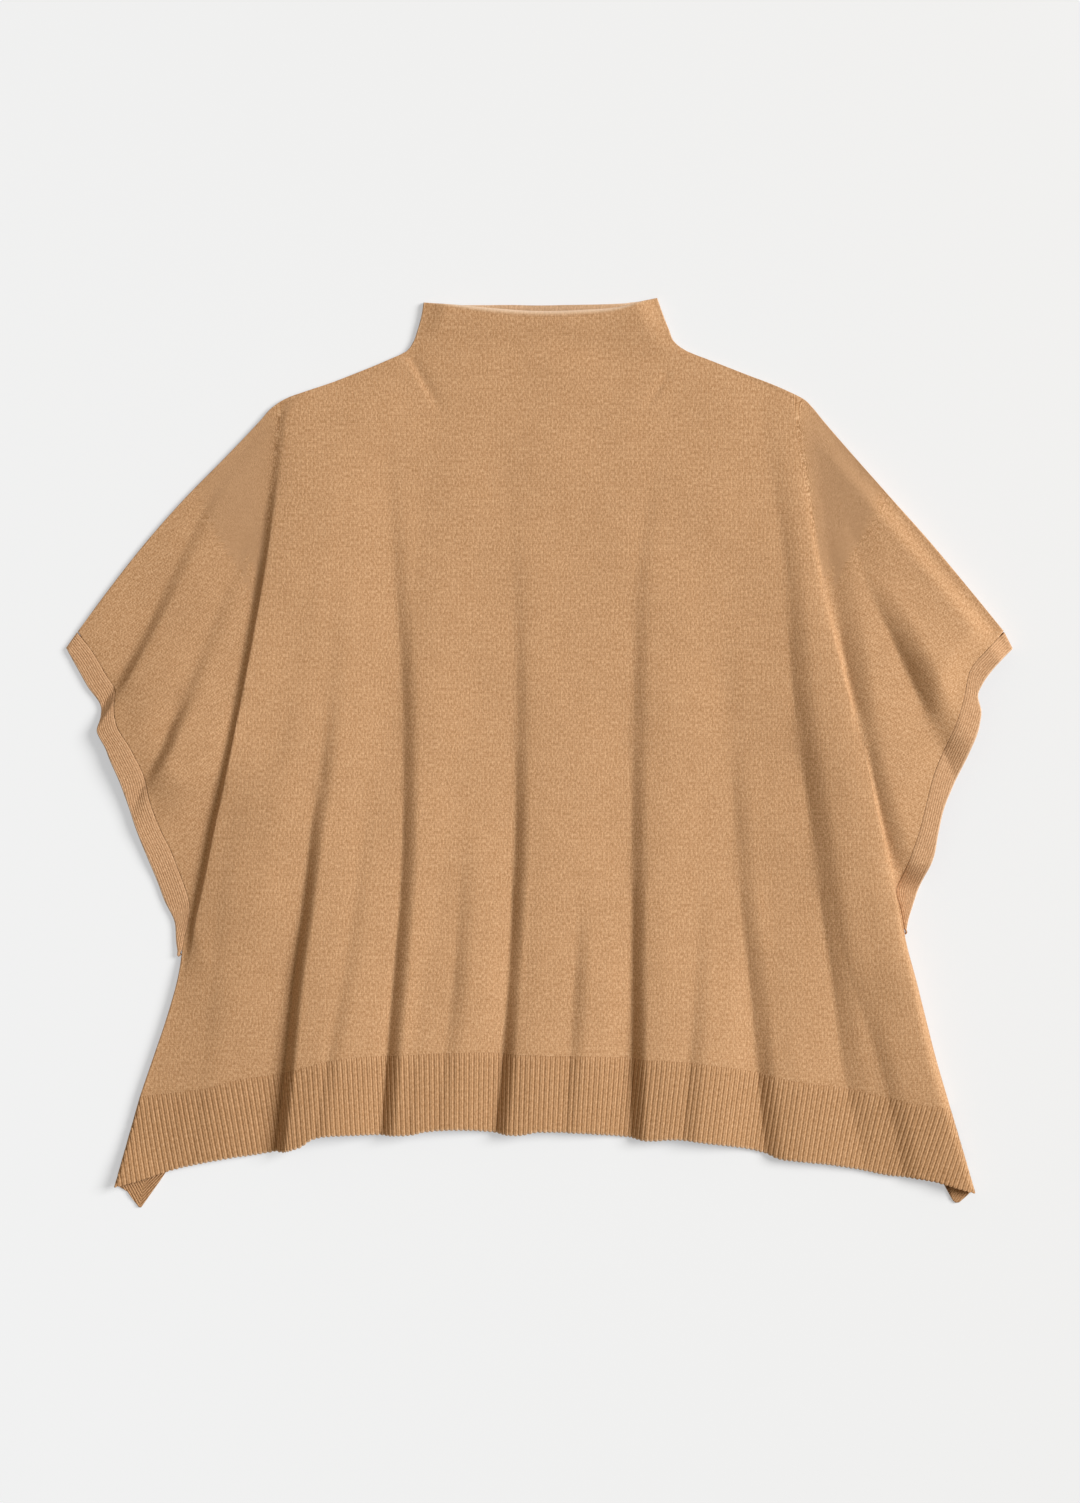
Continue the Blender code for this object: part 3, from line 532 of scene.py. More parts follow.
def makeKnit(name, look):
    # Cashmere, knitted on a fine machine and brushed: matt, with a soft pale bloom over columns of small Vs
    material, tree = newMaterial(name)
    turn = 2.0 * math.pi
    uv = addNode(tree, "UVMap", {"uv_map": "knit"})     # in mm
    place = addNode(tree, "SeparateXYZ", {"Vector": uv})
    # size runs from 0 in the middle of a column of stitches to 0.5 between two columns
    drift = addNode(tree, "TexNoise", {"Scale": 1.0 / look["drift"], "Detail": 1.0, "Vector": uv})
    across = addNode(tree, "Math", {"operation": "MULTIPLY_ADD", 0: drift, 1: look["sway"], 2: place.outputs["X"]})
    wales = addNode(tree, "Math", {"operation": "DIVIDE", 0: across, 1: look["wale"]})
    part = addNode(tree, "Math", {"operation": "FRACT", 0: wales})
    middle = addNode(tree, "Math", {"operation": "SUBTRACT", 0: part, 1: 0.5})
    size = addNode(tree, "Math", {"operation": "ABSOLUTE", 0: middle})
    # stitch follows the two legs of each V, in the rows they lie in
    halfTurn = addNode(tree, "Math", {"operation": "MULTIPLY", 0: size, 1: turn})
    legs = addNode(tree, "Math", {"operation": "SINE", 0: halfTurn})
    rows = addNode(tree, "Math", {"operation": "DIVIDE", 0: place.outputs["Y"], 1: look["course"]})
    slant = addNode(tree, "Math", {"operation": "ADD", 0: rows, 1: size})
    rowTurn = addNode(tree, "Math", {"operation": "MULTIPLY", 0: slant, 1: turn})
    wave = addNode(tree, "Math", {"operation": "COSINE", 0: rowTurn})
    loops = addNode(tree, "Math", {"operation": "MULTIPLY_ADD", 0: wave, 1: look["loops"], 2: 1.0 - look["loops"]})
    stitch = addNode(tree, "Math", {"operation": "MULTIPLY", 0: legs, 1: loops})
    # loose fibres, and the slow changes of tone in a brushed cloth
    drawn = addNode(tree, "VectorMath", {"operation": "MULTIPLY", 0: uv, 1: (1.0, 0.5, 1.0)})
    fine = addNode(tree, "TexNoise", {"Scale": 1.0 / look["tuft"], "Detail": 3.0, "Roughness": 0.7, "Vector": drawn})
    broad = addNode(tree, "TexNoise", {"Scale": 1.0 / look["patch"], "Detail": 2.0, "Vector": uv})
    stitches, fibres, changes = look["shares"]
    woven = addNode(tree, "Math", {"operation": "MULTIPLY", 0: stitch, 1: stitches})
    furred = addNode(tree, "Math", {"operation": "MULTIPLY_ADD", 0: fine, 1: fibres, 2: woven})
    tone = addNode(tree, "Math", {"operation": "MULTIPLY_ADD", 0: broad, 1: changes, 2: furred})
    # painted shade: the yarn darkens towards the middle between two columns of stitches, the purl columns of a rib
    twice = addNode(tree, "Math", {"operation": "MULTIPLY", 0: size, 1: 2.0})
    groove = addNode(tree, "Math", {"operation": "POWER", 0: twice, 1: 4.0})
    shade = addNode(tree, "Math", {"operation": "MULTIPLY_ADD", 0: groove, 1: -look["paintedGrooveShade"], 2: tone})
    ramp = addNode(tree, "ValToRGB", {"Fac": shade})
    stops = ramp.color_ramp.elements
    stops.new(look["ramp"][1])
    for stop, position, key in zip(stops, look["ramp"], ("deep", "yarn", "light")):
        stop.position, stop.color = position, toLinear(look[key])
    # painted highlight and pale fibres: the fuzz colour is mixed over the yarn by each point's share
    fuzzAndHighlight = addNode(tree, "Attribute", {"attribute_name": "fuzzAndHighlight"})
    colour = addNode(tree, "Mix", {
        "data_type": "RGBA", "B": toLinear(look["fuzzHighlight"]), "Factor": fuzzAndHighlight.outputs["Fac"], "A": ramp.outputs["Color"],
    })
    relief = addNode(tree, "Math", {"operation": "MULTIPLY_ADD", 0: fine, 1: 0.8, 2: stitch})
    bump = addNode(tree, "Bump", {"Strength": 0.5, "Distance": look["bump"] * mm, "Height": relief})
    hollow, tip = look["rough"]
    rough = addNode(tree, "MapRange", {"To Min": hollow, "To Max": tip, "Value": fine})
    shader = addNode(tree, "BsdfPrincipled", {
        "IOR": 1.45, "Specular IOR Level": 0.15, "Sheen Weight": 0.12, "Sheen Roughness": 0.5,
        "Sheen Tint": toLinear("#F3DCC2"), "Base Color": next(o for o in colour.outputs if o.enabled),
        "Roughness": rough, "Normal": bump,
    })
    addNode(tree, "OutputMaterial", {"Surface": shader})
    return material


frontPanel = {
    "columns": 256,
    "sideShares": 36,       # rows from the hem seam up to the underarms
    "bodyRows": 70,         # from there to the shoulders
    "dartRows": 48,         # and on to the base of the neck
    "neckRows": 22,
    "crowd": (3.4, 5.0, 2.5),   # how much closer columns stand on a fold's flank and at an edge, and its reach
    "neckRise": (4.0, 47.0, 22.0),  # how far the neck's front stands off its back, over which height and width
    "foldEdge": (1.1, 2.6),     # width and drop of the turn at a folded edge
    "seamEdge": (0.6, 0.2),     # and at the seam with an armhole band
    "rollWide": 0.06,       # the edge turns this much wider for each mm of a roll's height
    "seamEnd": 6.0,         # the seam starts and ends over this height
    "seamGap": 0.15,        # the linking stitches leave a fine dark line
    "rimEdge": (4.6, 1.6, 3.6),     # the soft roll along the neck's rim: width in the middle and at the ends, drop
    "rimEnds": ((-95.0, 60.0), (98.0, 55.0)),   # x of the two ends, and over how much it widens
    "rimCrease": (0.35, 1.5, 1.6, 15.0),    # faint crease below it: depth, width, distance, reach of its ends
    "rimFuzzAndHighlight": (0.75, 30.0),    # pale fibres and a painted highlight along the rim: how strong, fading this near to the sides
    "dartEnds": (2.0, 8.0, 3.0, 0.6),   # a dart's ends, see dartGroove
    "hollow": (22.0, 360.0, 0.22, 0.9, 38.0, 11.0),     # dip in the neck's base: x, y, turn, depth and two reaches
    "lowest": (0.8, 0.2),   # the cloth's outer and inner face come no nearer to the table
    "sleeveMap": (-404.5, 408.0),   # x of each band's top, from which the sleeve's slanting knit is mapped
    "wedge": (0.927, 0.375),    # cosine and sine of its slant
    "mapSoft": (70.0, 120.0, 120.0),    # it blends into the body's over this width, from this y and over this height
    "mapRange": (-150.0, 330.0, 60.0),  # it is used between these two y, and fades out over this height at the upper
}
# Short pulled-in lines beside the neck: top x y, bottom x y, depth, width of the left and the right wall.
darts = (
    ((-117.5, 350), (-84.5, 291), 1.5, 1, 7),
    ((115.5, 334), (92, 297), 0.7, 5, 1.5),
)


def panelEdges(y):
    sides = []
    for column, side in ((1, -1), (2, 1)):
        below = np.where(y > bands[side][1][-1, 1], seamX(side, y), readColumn(sideRows, column, y))
        sides.append(np.where(y > sleeveY, readColumn(neckRows, column, y), below))
    return sides


def rimHeight(x):
    return readCurve(frontRim, x)


def panelRows(settings, gap):
    # each row is (left, right, function from x to y)
    rows = []
    ends = list(enumerate((hemSeam[0], hemSeam[-1])))
    low = [panelEdges(np.array(y))[side] for side, (x, y) in ends]
    for share in np.linspace(1.0, 0.0, settings["sideShares"] + 1)[:-1]:
        def rowY(x, share=share):
            return underarmY + share * (readCurve(hemSeam, x) + gap - underarmY)
        left, right = (panelEdges(rowY(np.array(x)))[side] + (x - low[side]) * share**3 for side, (x, y) in ends)
        rows.append((float(left), float(right), rowY))
    body = np.linspace(underarmY, shoulderY, settings["bodyRows"] + 1)[:-1]
    for y in np.concatenate((body, np.linspace(shoulderY, neckY, settings["dartRows"] + 1)[:-1])):
        left, right = panelEdges(np.array(y))
        rows.append((float(left), float(right), lambda x, y=y: np.full_like(x, y)))
    for share in np.linspace(0.0, 1.0, settings["neckRows"] + 1):
        share = 1.0 - (1.0 - share) ** 1.5
        y = neckY + (rimY - neckY) * share
        left, right = panelEdges(np.array(y))
        rows.append((float(left), float(right), lambda x, y=y, s=share: y + s**3 * (rimHeight(x) - rimY)))
    return rows


def columnSpots(left, right, rowY, settings):
    x = np.linspace(left, right, 1500)
    y = rowY(x)
    weight = np.ones_like(x)
    flank, edge, reach = settings["crowd"]
    for fold in folds:
        strength = foldRise(fold, y) * sleeveFade(x, y) / 12.0
        weight += flank * strength * np.exp(-((x - foldLine(fold, y)) / (0.7 * foldSteep(fold, y))) ** 2)
    weight += edge * np.exp(-((x - left) / reach) ** 2) + edge * np.exp(-((x - right) / reach) ** 2)
    total = runningSum((weight[1:] + weight[:-1]) / 2.0)
    return np.interp(np.linspace(0.0, total[-1], settings["columns"] + 1), total, x)


def dartGroove(x, y, settings):
    # each starts this far before its top, over this length, and ends so far past its bottom, over a share of it
    before, over, past, share = settings["dartEnds"]
    groove = 0.0
    for top, bottom, depth, leftWall, rightWall in darts:
        length = math.dist(top, bottom)
        along, away = alongLine(top, bottom, x, y)
        wall = np.where(away > 0.0, np.exp(-(away / leftWall) ** 2), np.exp(-(away / rightWall) ** 2))
        ends = smoothStep((along + before) / over) * smoothStep((length + past - along) / (share * length))
        groove = groove + depth * wall * ends
    return groove


def neckHollow(x, y, settings):
    # slack cloth dips slantwise across the base of the neck
    x0, y0, turn, depth, wide, high = settings["hollow"]
    across = (x - x0) * math.cos(turn) - (y - y0) * math.sin(turn)
    along = (x - x0) * math.sin(turn) + (y - y0) * math.cos(turn)
    return depth * np.exp(-(across / wide) ** 2 - (along / high) ** 2)


def buildFrontPanel(settings, material):
    points, uvBody, uvSleeve, shares, walls, fuzzAndHighlights = [], [], [], [], [], []
    for left, right, rowY in panelRows(settings, cloth["hemGap"]):
        x = columnSpots(left, right, rowY, settings)
        y = rowY(x)
        # the height of the cloth's outer face
        gape, high, wide = settings["neckRise"]
        neck = smoothStep((y - neckY) / high)
        layer = cloth["layer"] + (cloth["neckLayer"] - cloth["layer"]) * neck
        gape = gape * neck * between(x, left, right, wide)
        waves = softWaves(x, y) * between(x, left, right, cloth["swell"][1])
        z = base + layer + gape + clothRise(x, y) + waves
        z = z - dartGroove(x, y, settings) - neckHollow(x, y, settings)
        # its edges
        seam = between(y, np.where(x < 0.0, bandEnds[-1], bandEnds[1]), sleeveY + 1.0, settings["seamEnd"])
        roll = edgeRoll(x, y) * (1.0 - seam)
        width, drop = (a + (b - a) * seam for a, b in zip(settings["foldEdge"], settings["seamEdge"]))
        width, drop = width + settings["rollWide"] * roll, drop + neck + roll
        gap = settings["seamGap"] * seam
        near = np.minimum(x - left, right - x)
        z = z - edgeDrop(near, width, drop)
        rim = rimHeight(x) - y
        (low, overLow), (high, overHigh) = settings["rimEnds"]
        full, least, drop = settings["rimEdge"]
        rimWidth = least + (full - least) * smoothStep((x - low) / overLow) * smoothStep((high - x) / overHigh)
        z = z - edgeDrop(rim, rimWidth, drop)
        depth, wide, below, ends = settings["rimCrease"]
        z = z - depth * np.exp(-((rim - rimWidth - below) / wide) ** 2) * smoothStep(near / ends)
        z = np.maximum(z, settings["lowest"][0])
        shiftEdge = np.where(x - left < right - x, gap, -gap) * (near < 0.01)
        spot = np.stack((x + clothLean(x, y) + shiftEdge, y, z), axis=1)
        points.append(spot)
        # the knit's own map: columns of stitches along v, and u measured along the cloth
        run = runningSum(np.hypot(np.diff(spot[:, 0]), np.diff(spot[:, 2])))
        run = run - np.interp(0.0, x, run)
        uvBody.append(np.stack((run, y), axis=1))
        c, s = settings["wedge"]
        out = spot[:, 0] - np.where(x < 0.0, *settings["sleeveMap"])
        s = np.where(x < 0.0, s, -s)
        uvSleeve.append(np.stack((c * out + s * (y - sleeveY), -s * out + c * (y - sleeveY)), axis=1))
        wide, low, over = settings["mapSoft"]
        soft = 1.0 + wide * smoothStep((y - low) / over)
        leftShare = smoothStep(0.5 - (x - foldLine(folds[0], y) + 2.0 + soft / 2.0) / soft)
        rightShare = smoothStep(0.5 + (x - foldLine(folds[1], y) - 2.0 - soft / 2.0) / soft)
        low, high, over = settings["mapRange"]
        shares.append(np.maximum(leftShare, rightShare) * smoothStep((high - y) / over) * (y > low))
        walls.append(edgeWall(near))
        # the rim and the folded sides get pale fibres and a painted highlight
        fuzzHighlight = edgeFuzzAndHighlight(rim, settings["rimFuzzAndHighlight"][0], rimWidth + 1.0) * smoothStep(near / settings["rimFuzzAndHighlight"][1])
        fuzzAndHighlights.append(np.maximum(fuzzHighlight, edgeFuzzAndHighlight(near, *cloth["sideFuzzAndHighlight"]) * (1.0 - seam)))
    points = np.array(points)
    print("front panel area", round(sheetArea(points), 4), "m2")
    inner = innerFace(points, np.array(walls))
    inner[:, :, 2] = np.maximum(inner[:, :, 2], settings["lowest"][1])
    return shellObject("frontPanel", material, points, inner, np.array(uvBody),
                       uvTwo=np.array(uvSleeve), share=np.array(shares), fuzzAndHighlight=np.array(fuzzAndHighlights))


hemRib = {
    "pitch": cloth["ribPitch"],
    "slack": 1.035,         # times as many ribs as its laid width holds, for the folds
    "perRib": 8,            # columns of the mesh to a rib
    "ribRound": 0.55,       # the lower, the broader a rib and the narrower a groove
    "uneven": 0.14,         # the ribs' heights vary by this share
    "filled": 0.6,          # a rib is thicker than a groove by this share of its relief
    "ribEnd": 1.4,          # the ribs die out this near to the folded sides
    "plainFrom": (0.93, 0.065, 0.07),   # above this share of its height the ribs and then their thin grooves end
    "reach": (-385.0, 398.0),   # the ribs run on past both folded sides, where they are cut off
    "low": 1.7,             # mm of cloth in the groove
    "relief": 0.58,         # how far a rib stands over the groove
    "edge": (0.024, 1.7),   # share of the hem's height over which its cast-off edge turns down, and by how much
    "side": (1.6, 3.2),     # width and drop of the turn at its folded sides
    "openEnds": (-335.0, 372.0, 30.0),  # outside these x the edge stands clear of the back's corner, over this width
    "openTurn": 0.15,       # and turns down by this share only
    "crestDrop": 0.12,      # under a fold the edge ends this share of the fold's height lower
    "scallop": (0.6, 0.05, 2.0),    # a rib ends this much lower: mm, share of the height, fading near the sides
    "fuzzAndHighlight": (0.4, 0.03),    # how strong the pale fibres and the painted highlight along the cast-off edge are, and over which share of the height
    "fuzzAndHighlightFrom": (45.0, 15.0),   # which starts this far in from the sides, over this width
    "rows": 17,             # of the mesh, with closer ones at these shares of the height at the two ends
    "ends": ((0.0, 0.003, 0.008, 0.016, 0.027, 0.045), (0.92, 0.955, 0.98, 1.0)),
}
# The ribs stand square to the curved lower edge: x, mm to the right for each mm down.
hemSlant = (
    (-385, 0.17), (-320, 0.17), (-260, 0.13), (-200, 0.07), (-140, 0.04), (-80, 0), (-20, -0.03),
    (40, -0.055), (100, -0.105), (160, -0.13), (220, -0.145), (280, -0.2), (310, -0.24), (340, -0.29),
    (398, -0.31),
)


def spreadByLength(left, right, rowY, count):
    x = np.linspace(left, right, 4000)
    z = clothRise(x, rowY(x))
    length = runningSum(np.hypot(np.diff(x), np.diff(z)))
    return np.interp(np.linspace(0.0, length[-1], count + 1), length, x)


def hemSide(end, y):
    # x of the folded side at the first or the last end
    (topX, topY), (lowX, lowY) = hemSeam[end], hemEdge[end]
    return lowX + (topX - lowX) * (y - lowY) / (topY - lowY)


def cutRow(row, inside):
    # everything past a folded side moves onto it
    first = int(np.argmax(inside > 0.0))
    share = inside[first] / (inside[first] - inside[first - 1])
    row[:first] = row[first] + (row[first - 1] - row[first]) * share


def buildFrontHem(settings, material):
    start, stop = settings["reach"]
    ribs = round((stop - start) * settings["slack"] / settings["pitch"])
    columns = ribs * settings["perRib"]
    middle = spreadByLength(start, stop, lambda x: (readCurve(hemSeam, x) + readCurve(hemEdge, x)) / 2.0, columns)
    half = (readCurve(hemSeam, middle) - readCurve(hemEdge, middle)) / 2.0
    top, low = middle - readCurve(hemSlant, middle) * half, middle + readCurve(hemSlant, middle) * half
    phase = np.arange(columns + 1) / settings["perRib"]
    ridge = ribWave(phase, settings["ribRound"])
    ridge = ridge * (1.0 - settings["uneven"] + settings["uneven"] * np.sin(1.7 * phase) * np.sin(0.61 * phase + 1.0))
    lowEnds, topEnds = settings["ends"]
    shares = np.concatenate((lowEnds, np.linspace(0.08, 0.88, settings["rows"]), topEnds))
    plainFrom, ribsOver, knitOver = settings["plainFrom"]
    points, uv, walls, insides = [], [], [], []
    for share in shares:
        x = low + (top - low) * share
        y = (readCurve(hemSeam, top) - cloth["hemGap"]) * share + readCurve(hemEdge, low) * (1.0 - share)
        rise = clothRise(x, y)
        inside = np.stack((x - hemSide(0, y), hemSide(-1, y) - x))
        near = inside.min(axis=0)
        width, drop = settings["side"]
        z = base + settings["low"] + rise - edgeDrop(near, width, drop + edgeRoll(x, y))
        z = z + (cloth["layer"] - settings["low"]) * smoothStep((share - plainFrom) / knitOver)
        turned = settings["openTurn"] + (1.0 - settings["openTurn"]) * between(x, *settings["openEnds"])
        z = z - edgeDrop(np.array(share), *settings["edge"]) * turned
        y = y - settings["crestDrop"] * rise * (1.0 - share) ** 2
        deep, high, ends = settings["scallop"]
        y = y - deep * ridge * (1.0 - smoothStep(share / high)) * smoothStep(near / ends)
        points.append(np.stack((x + clothLean(x, y), y, z), axis=1))
        drop = readCurve(hemEdge, low) - readCurve(hemSeam, top)
        uv.append(np.stack((phase * settings["pitch"], -drop * share), axis=1))
        walls.append(edgeWall(near))
        insides.append(inside)
    points, uv = np.array(points), np.array(uv)
    ribbed = 1.0 - smoothStep((shares - plainFrom) / ribsOver)
    sides = np.array(insides).min(axis=1)
    relief = settings["relief"] * ribbed[:, None] * ridge[None, :] * smoothStep(sides / settings["ribEnd"])
    outer = points + gridNormals(points) * relief[:, :, None]
    inner = innerFace(outer, np.array(walls) + relief * settings["filled"])
    for row, (fromLeft, fromRight) in enumerate(insides):
        for grid in (points, outer, inner, uv):
            cutRow(grid[row], fromLeft)
            cutRow(grid[row][::-1], fromRight[::-1])
    print("front hem area", round(sheetArea(points), 4), "m2,", ribs, "ribs")
    # the cast-off edge and the folded sides get pale fibres and a painted highlight
    start, over = settings["fuzzAndHighlightFrom"]
    fuzzAndHighlight = edgeFuzzAndHighlight(shares, *settings["fuzzAndHighlight"])[:, None] * smoothStep((sides - start) / over)
    fuzzAndHighlight = np.maximum(fuzzAndHighlight, edgeFuzzAndHighlight(sides, *cloth["sideFuzzAndHighlight"]))
    obj = shellObject("frontHem", material, outer, inner, uv, fuzzAndHighlight=fuzzAndHighlight)
    joined = bmesh.new()
    joined.from_mesh(obj.data)
    bmesh.ops.remove_doubles(joined, verts=joined.verts, dist=0.00001)
    joined.to_mesh(obj.data)
    joined.free()
    return obj


backPanel = {
    "columns": 120, "sideShares": 20, "bodyRows": 56, "dartRows": 8, "neckRows": 16,    # as for the front
    "crowd": 0.12,          # how strongly the columns draw together at the sides
    "hemGap": 0.3,          # between it and the back hem
    "inset": 1.2,           # it lies this far inside the front's folded edge
    "edge": (1.4, 0.9),     # width and drop of its turned sides
    "rim": (3.0, 1.6),      # and of the soft roll along the back of the neck
    "neckLift": (3.2, 16.0),    # how far the back of the neck stands up behind the front, and over which height
    "liftEnds": (6.0, 25.0),    # this starts so far in from the sides, over this width
    "lowest": 0.35,         # its outer face comes no nearer to the table
    "thinnest": 0.3,        # where its edges turn down
    "fuzzAndHighlight": (0.25, 0.5, 2.5),   # how strong the pale fibres and the painted highlight are over all of it, how much more along the rim, and how near to it
}


def buildBackPanel(settings, material):
    points, inner, uv, fuzzAndHighlights = [], [], [], []
    for left, right, rowY in panelRows(settings, settings["hemGap"]):
        left, right = left + settings["inset"], right - settings["inset"]
        x = np.linspace(0.0, 1.0, settings["columns"] + 1)
        x = left + (right - left) * (x - settings["crowd"] * np.sin(4.0 * math.pi * x) / (2.0 * math.pi))
        y = rowY(x)
        neck = np.clip((y - neckY) / (rimY - neckY), 0.0, 1.0)
        y = y + neck**3 * (readLine(backRim, x) - rimHeight(x))
        near = np.minimum(x - left, right - x)
        away = readLine(backRim, x) - y
        (height, over), (start, wide) = settings["neckLift"], settings["liftEnds"]
        lift = height * (1.0 - smoothStep(away / over)) * smoothStep((near - start) / wide)
        z = cloth["layer"] - edgeDrop(near, *settings["edge"]) + lift - edgeDrop(away, *settings["rim"])
        z = np.maximum(z, settings["lowest"])
        points.append(np.stack((x, y, z), axis=1))
        inner.append(np.stack((x, y, np.minimum(lift, z - settings["thinnest"])), axis=1))
        uv.append(np.stack((x, y), axis=1))
        # pale fibres and a painted highlight over all of it, more along the neck's rim
        fuzzAndHighlights.append(settings["fuzzAndHighlight"][0] + edgeFuzzAndHighlight(away, *settings["fuzzAndHighlight"][1:]))
    points = np.array(points)
    print("back panel area", round(sheetArea(points), 4), "m2")
    return shellObject("backPanel", material, points, np.array(inner), np.array(uv), fuzzAndHighlight=np.array(fuzzAndHighlights))


backHem = {
    "under": 4.0,           # its lower edge lies this far above the front's, apart from the two corners
    "left": ((-369.5, -383), (-363, -386.8), (-352.8, -400.6), (-350.5, -401.2), (-342, -389.2), (-334, -378),
             (-326, -366)),     # x and y of the corners' edges
    "right": ((352, -374), (363.5, -395), (366, -397), (369.5, -396.6), (377, -389.6), (379, -387.5)),
    "leftRibs": (-347.5, -378.5, -0.178, 55.0, 52.0),   # a point on the V's axis, its lean, and the ribs' angles
    "rightRibs": (366.0, -385.0),   # a point on one of its ribs
    "corners": (-322.0, 350.0, 4.0),    # the corners lie outside these x, and start over this width
    "pitch": 2.0,           # of the ribs where a corner shows, drawn close by the fold
    "ribRound": 0.7,        # as for the front hem
    "relief": 0.8,          # how far they stand out
    "raised": (9.0, 6.0),   # up to how far above the front's edge, and over which height they fade
    "dip": (1.3, 3.2, 2.8),     # how far a corner dips under the front, from how far below its edge, and how softly
    "lower": 0.4,           # the hem's ground is this much lower than the panel
    "edge": (1.2, 1.0),     # width and drop of the turn at its lower edge
    "side": (1.2, 0.9),     # and at its sides
    "lowest": 0.1,          # its outer face comes no nearer to the table
    "cell": 0.6,            # mm of mesh across the corners
    "wide": 6.0,            # and elsewhere
    "rows": ((0.0, 0.02, 5), (0.02, 0.42, 58), (0.42, 1.0, 7)),     # from and to a share of the height, and count
}


def buildBackHem(settings, material):
    edge = [(x, y + settings["under"]) for x, y in hemEdge[2:-1]]
    low = list(settings["left"]) + edge + list(settings["right"])
    spots, x = [], low[0][0]
    while x < low[-1][0]:
        spots.append(x)
        fine = x < settings["left"][-1][0] or x > settings["right"][0][0] - settings["wide"]
        x += settings["cell"] if fine else settings["wide"]
    lowX = np.array(spots + [low[-1][0]])
    lowY = readLine(low, lowX)
    seamLeft, seamRight = hemSeam[0][0] + backPanel["inset"], hemSeam[-1][0] - backPanel["inset"]
    topX = seamLeft + (seamRight - seamLeft) * (lowX - lowX[0]) / (lowX[-1] - lowX[0])
    topY = readCurve(hemSeam, topX) - backPanel["hemGap"]
    share = np.unique(np.concatenate([np.linspace(*part) for part in settings["rows"]]))[:, None]
    x = lowX + (topX - lowX) * share
    y = lowY + (topY - lowY) * share
    # the two corners show their ribs, close and in a V
    axisX, axisY, lean, leftAngle, rightAngle = settings["leftRibs"]
    a, b = math.radians(leftAngle), math.radians(rightAngle)
    axis = axisX + lean * (axisY - y)
    onLeft = (x - axis) * math.sin(a) + (y - axisY) * math.cos(a)
    onRight = -(x - axis) * math.sin(b) + (y - axisY) * math.cos(b)
    across = np.where(x < axis, onLeft, onRight)
    rightX, rightY = settings["rightRibs"]
    across = np.where(x > 0.0, -(x - rightX) * math.sin(b) + (y - rightY) * math.cos(b), across)
    cornerLeft, cornerRight, over = settings["corners"]
    corner = np.maximum(smoothStep((cornerLeft - x) / over), smoothStep((x - cornerRight) / over))
    below = readCurve(hemEdge, x) - y
    start, over = settings["raised"]
    corner = corner * smoothStep((below + start) / over)
    ribs = settings["relief"] * corner * ribWave(across / settings["pitch"], settings["ribRound"])
    dip, start, over = settings["dip"]
    ribs = ribs - dip * corner * smoothStep((start - below) / over)
    near = np.minimum(x - x[:, :1], x[:, -1:] - x)
    z = cloth["layer"] - settings["lower"] + ribs
    z = z - edgeDrop(y - lowY, *settings["edge"]) - edgeDrop(near, *settings["side"])
    outer = np.stack((x, y, np.maximum(z, settings["lowest"])), axis=2)
    inner = np.stack((x, y, np.zeros_like(z)), axis=2)
    wide = np.where(corner > 0.0, across * hemKnit["wale"] / settings["pitch"], x)
    print("back hem area", round(sheetArea(outer), 4), "m2")
    return shellObject("backHem", material, outer, inner, np.stack((wide, y), axis=2))


armBand = {
    "across": 56,           # columns of the mesh from the seam to the edge
    "crowd": 0.012,         # how strongly they draw together in the middle
    "endRows": 9,           # round each end, where the band is folded
    "pitch": 2.0,           # mm between the fine lengthwise ribs
    "ribRound": 0.7,        # as for the hems
    "relief": 0.34,         # how far they stand out
    "calm": 3.2,            # they rise over this width beside the linked seam
    "groove": (0.3, 0.5),   # depth and width, along the seam
    "edge": (1.5, 1.4),     # width and drop of its cast-off edge
    "sunk": 0.04,           # it lies this much lower than the panel
    "wall": 1.3,
    "fuzzAndHighlight": (0.03, 0.4, 0.06),  # how strong the pale fibres and the painted highlight are over all of it, how much more along the edge, and over which share of its width
}


def turnPoint(spot, top, half, angle):
    # a point of the fold at a band's end, from the table up to the front's height
    height = half + (top - half if angle > 0 else half) * math.sin(angle)
    return spot[0], spot[1], height


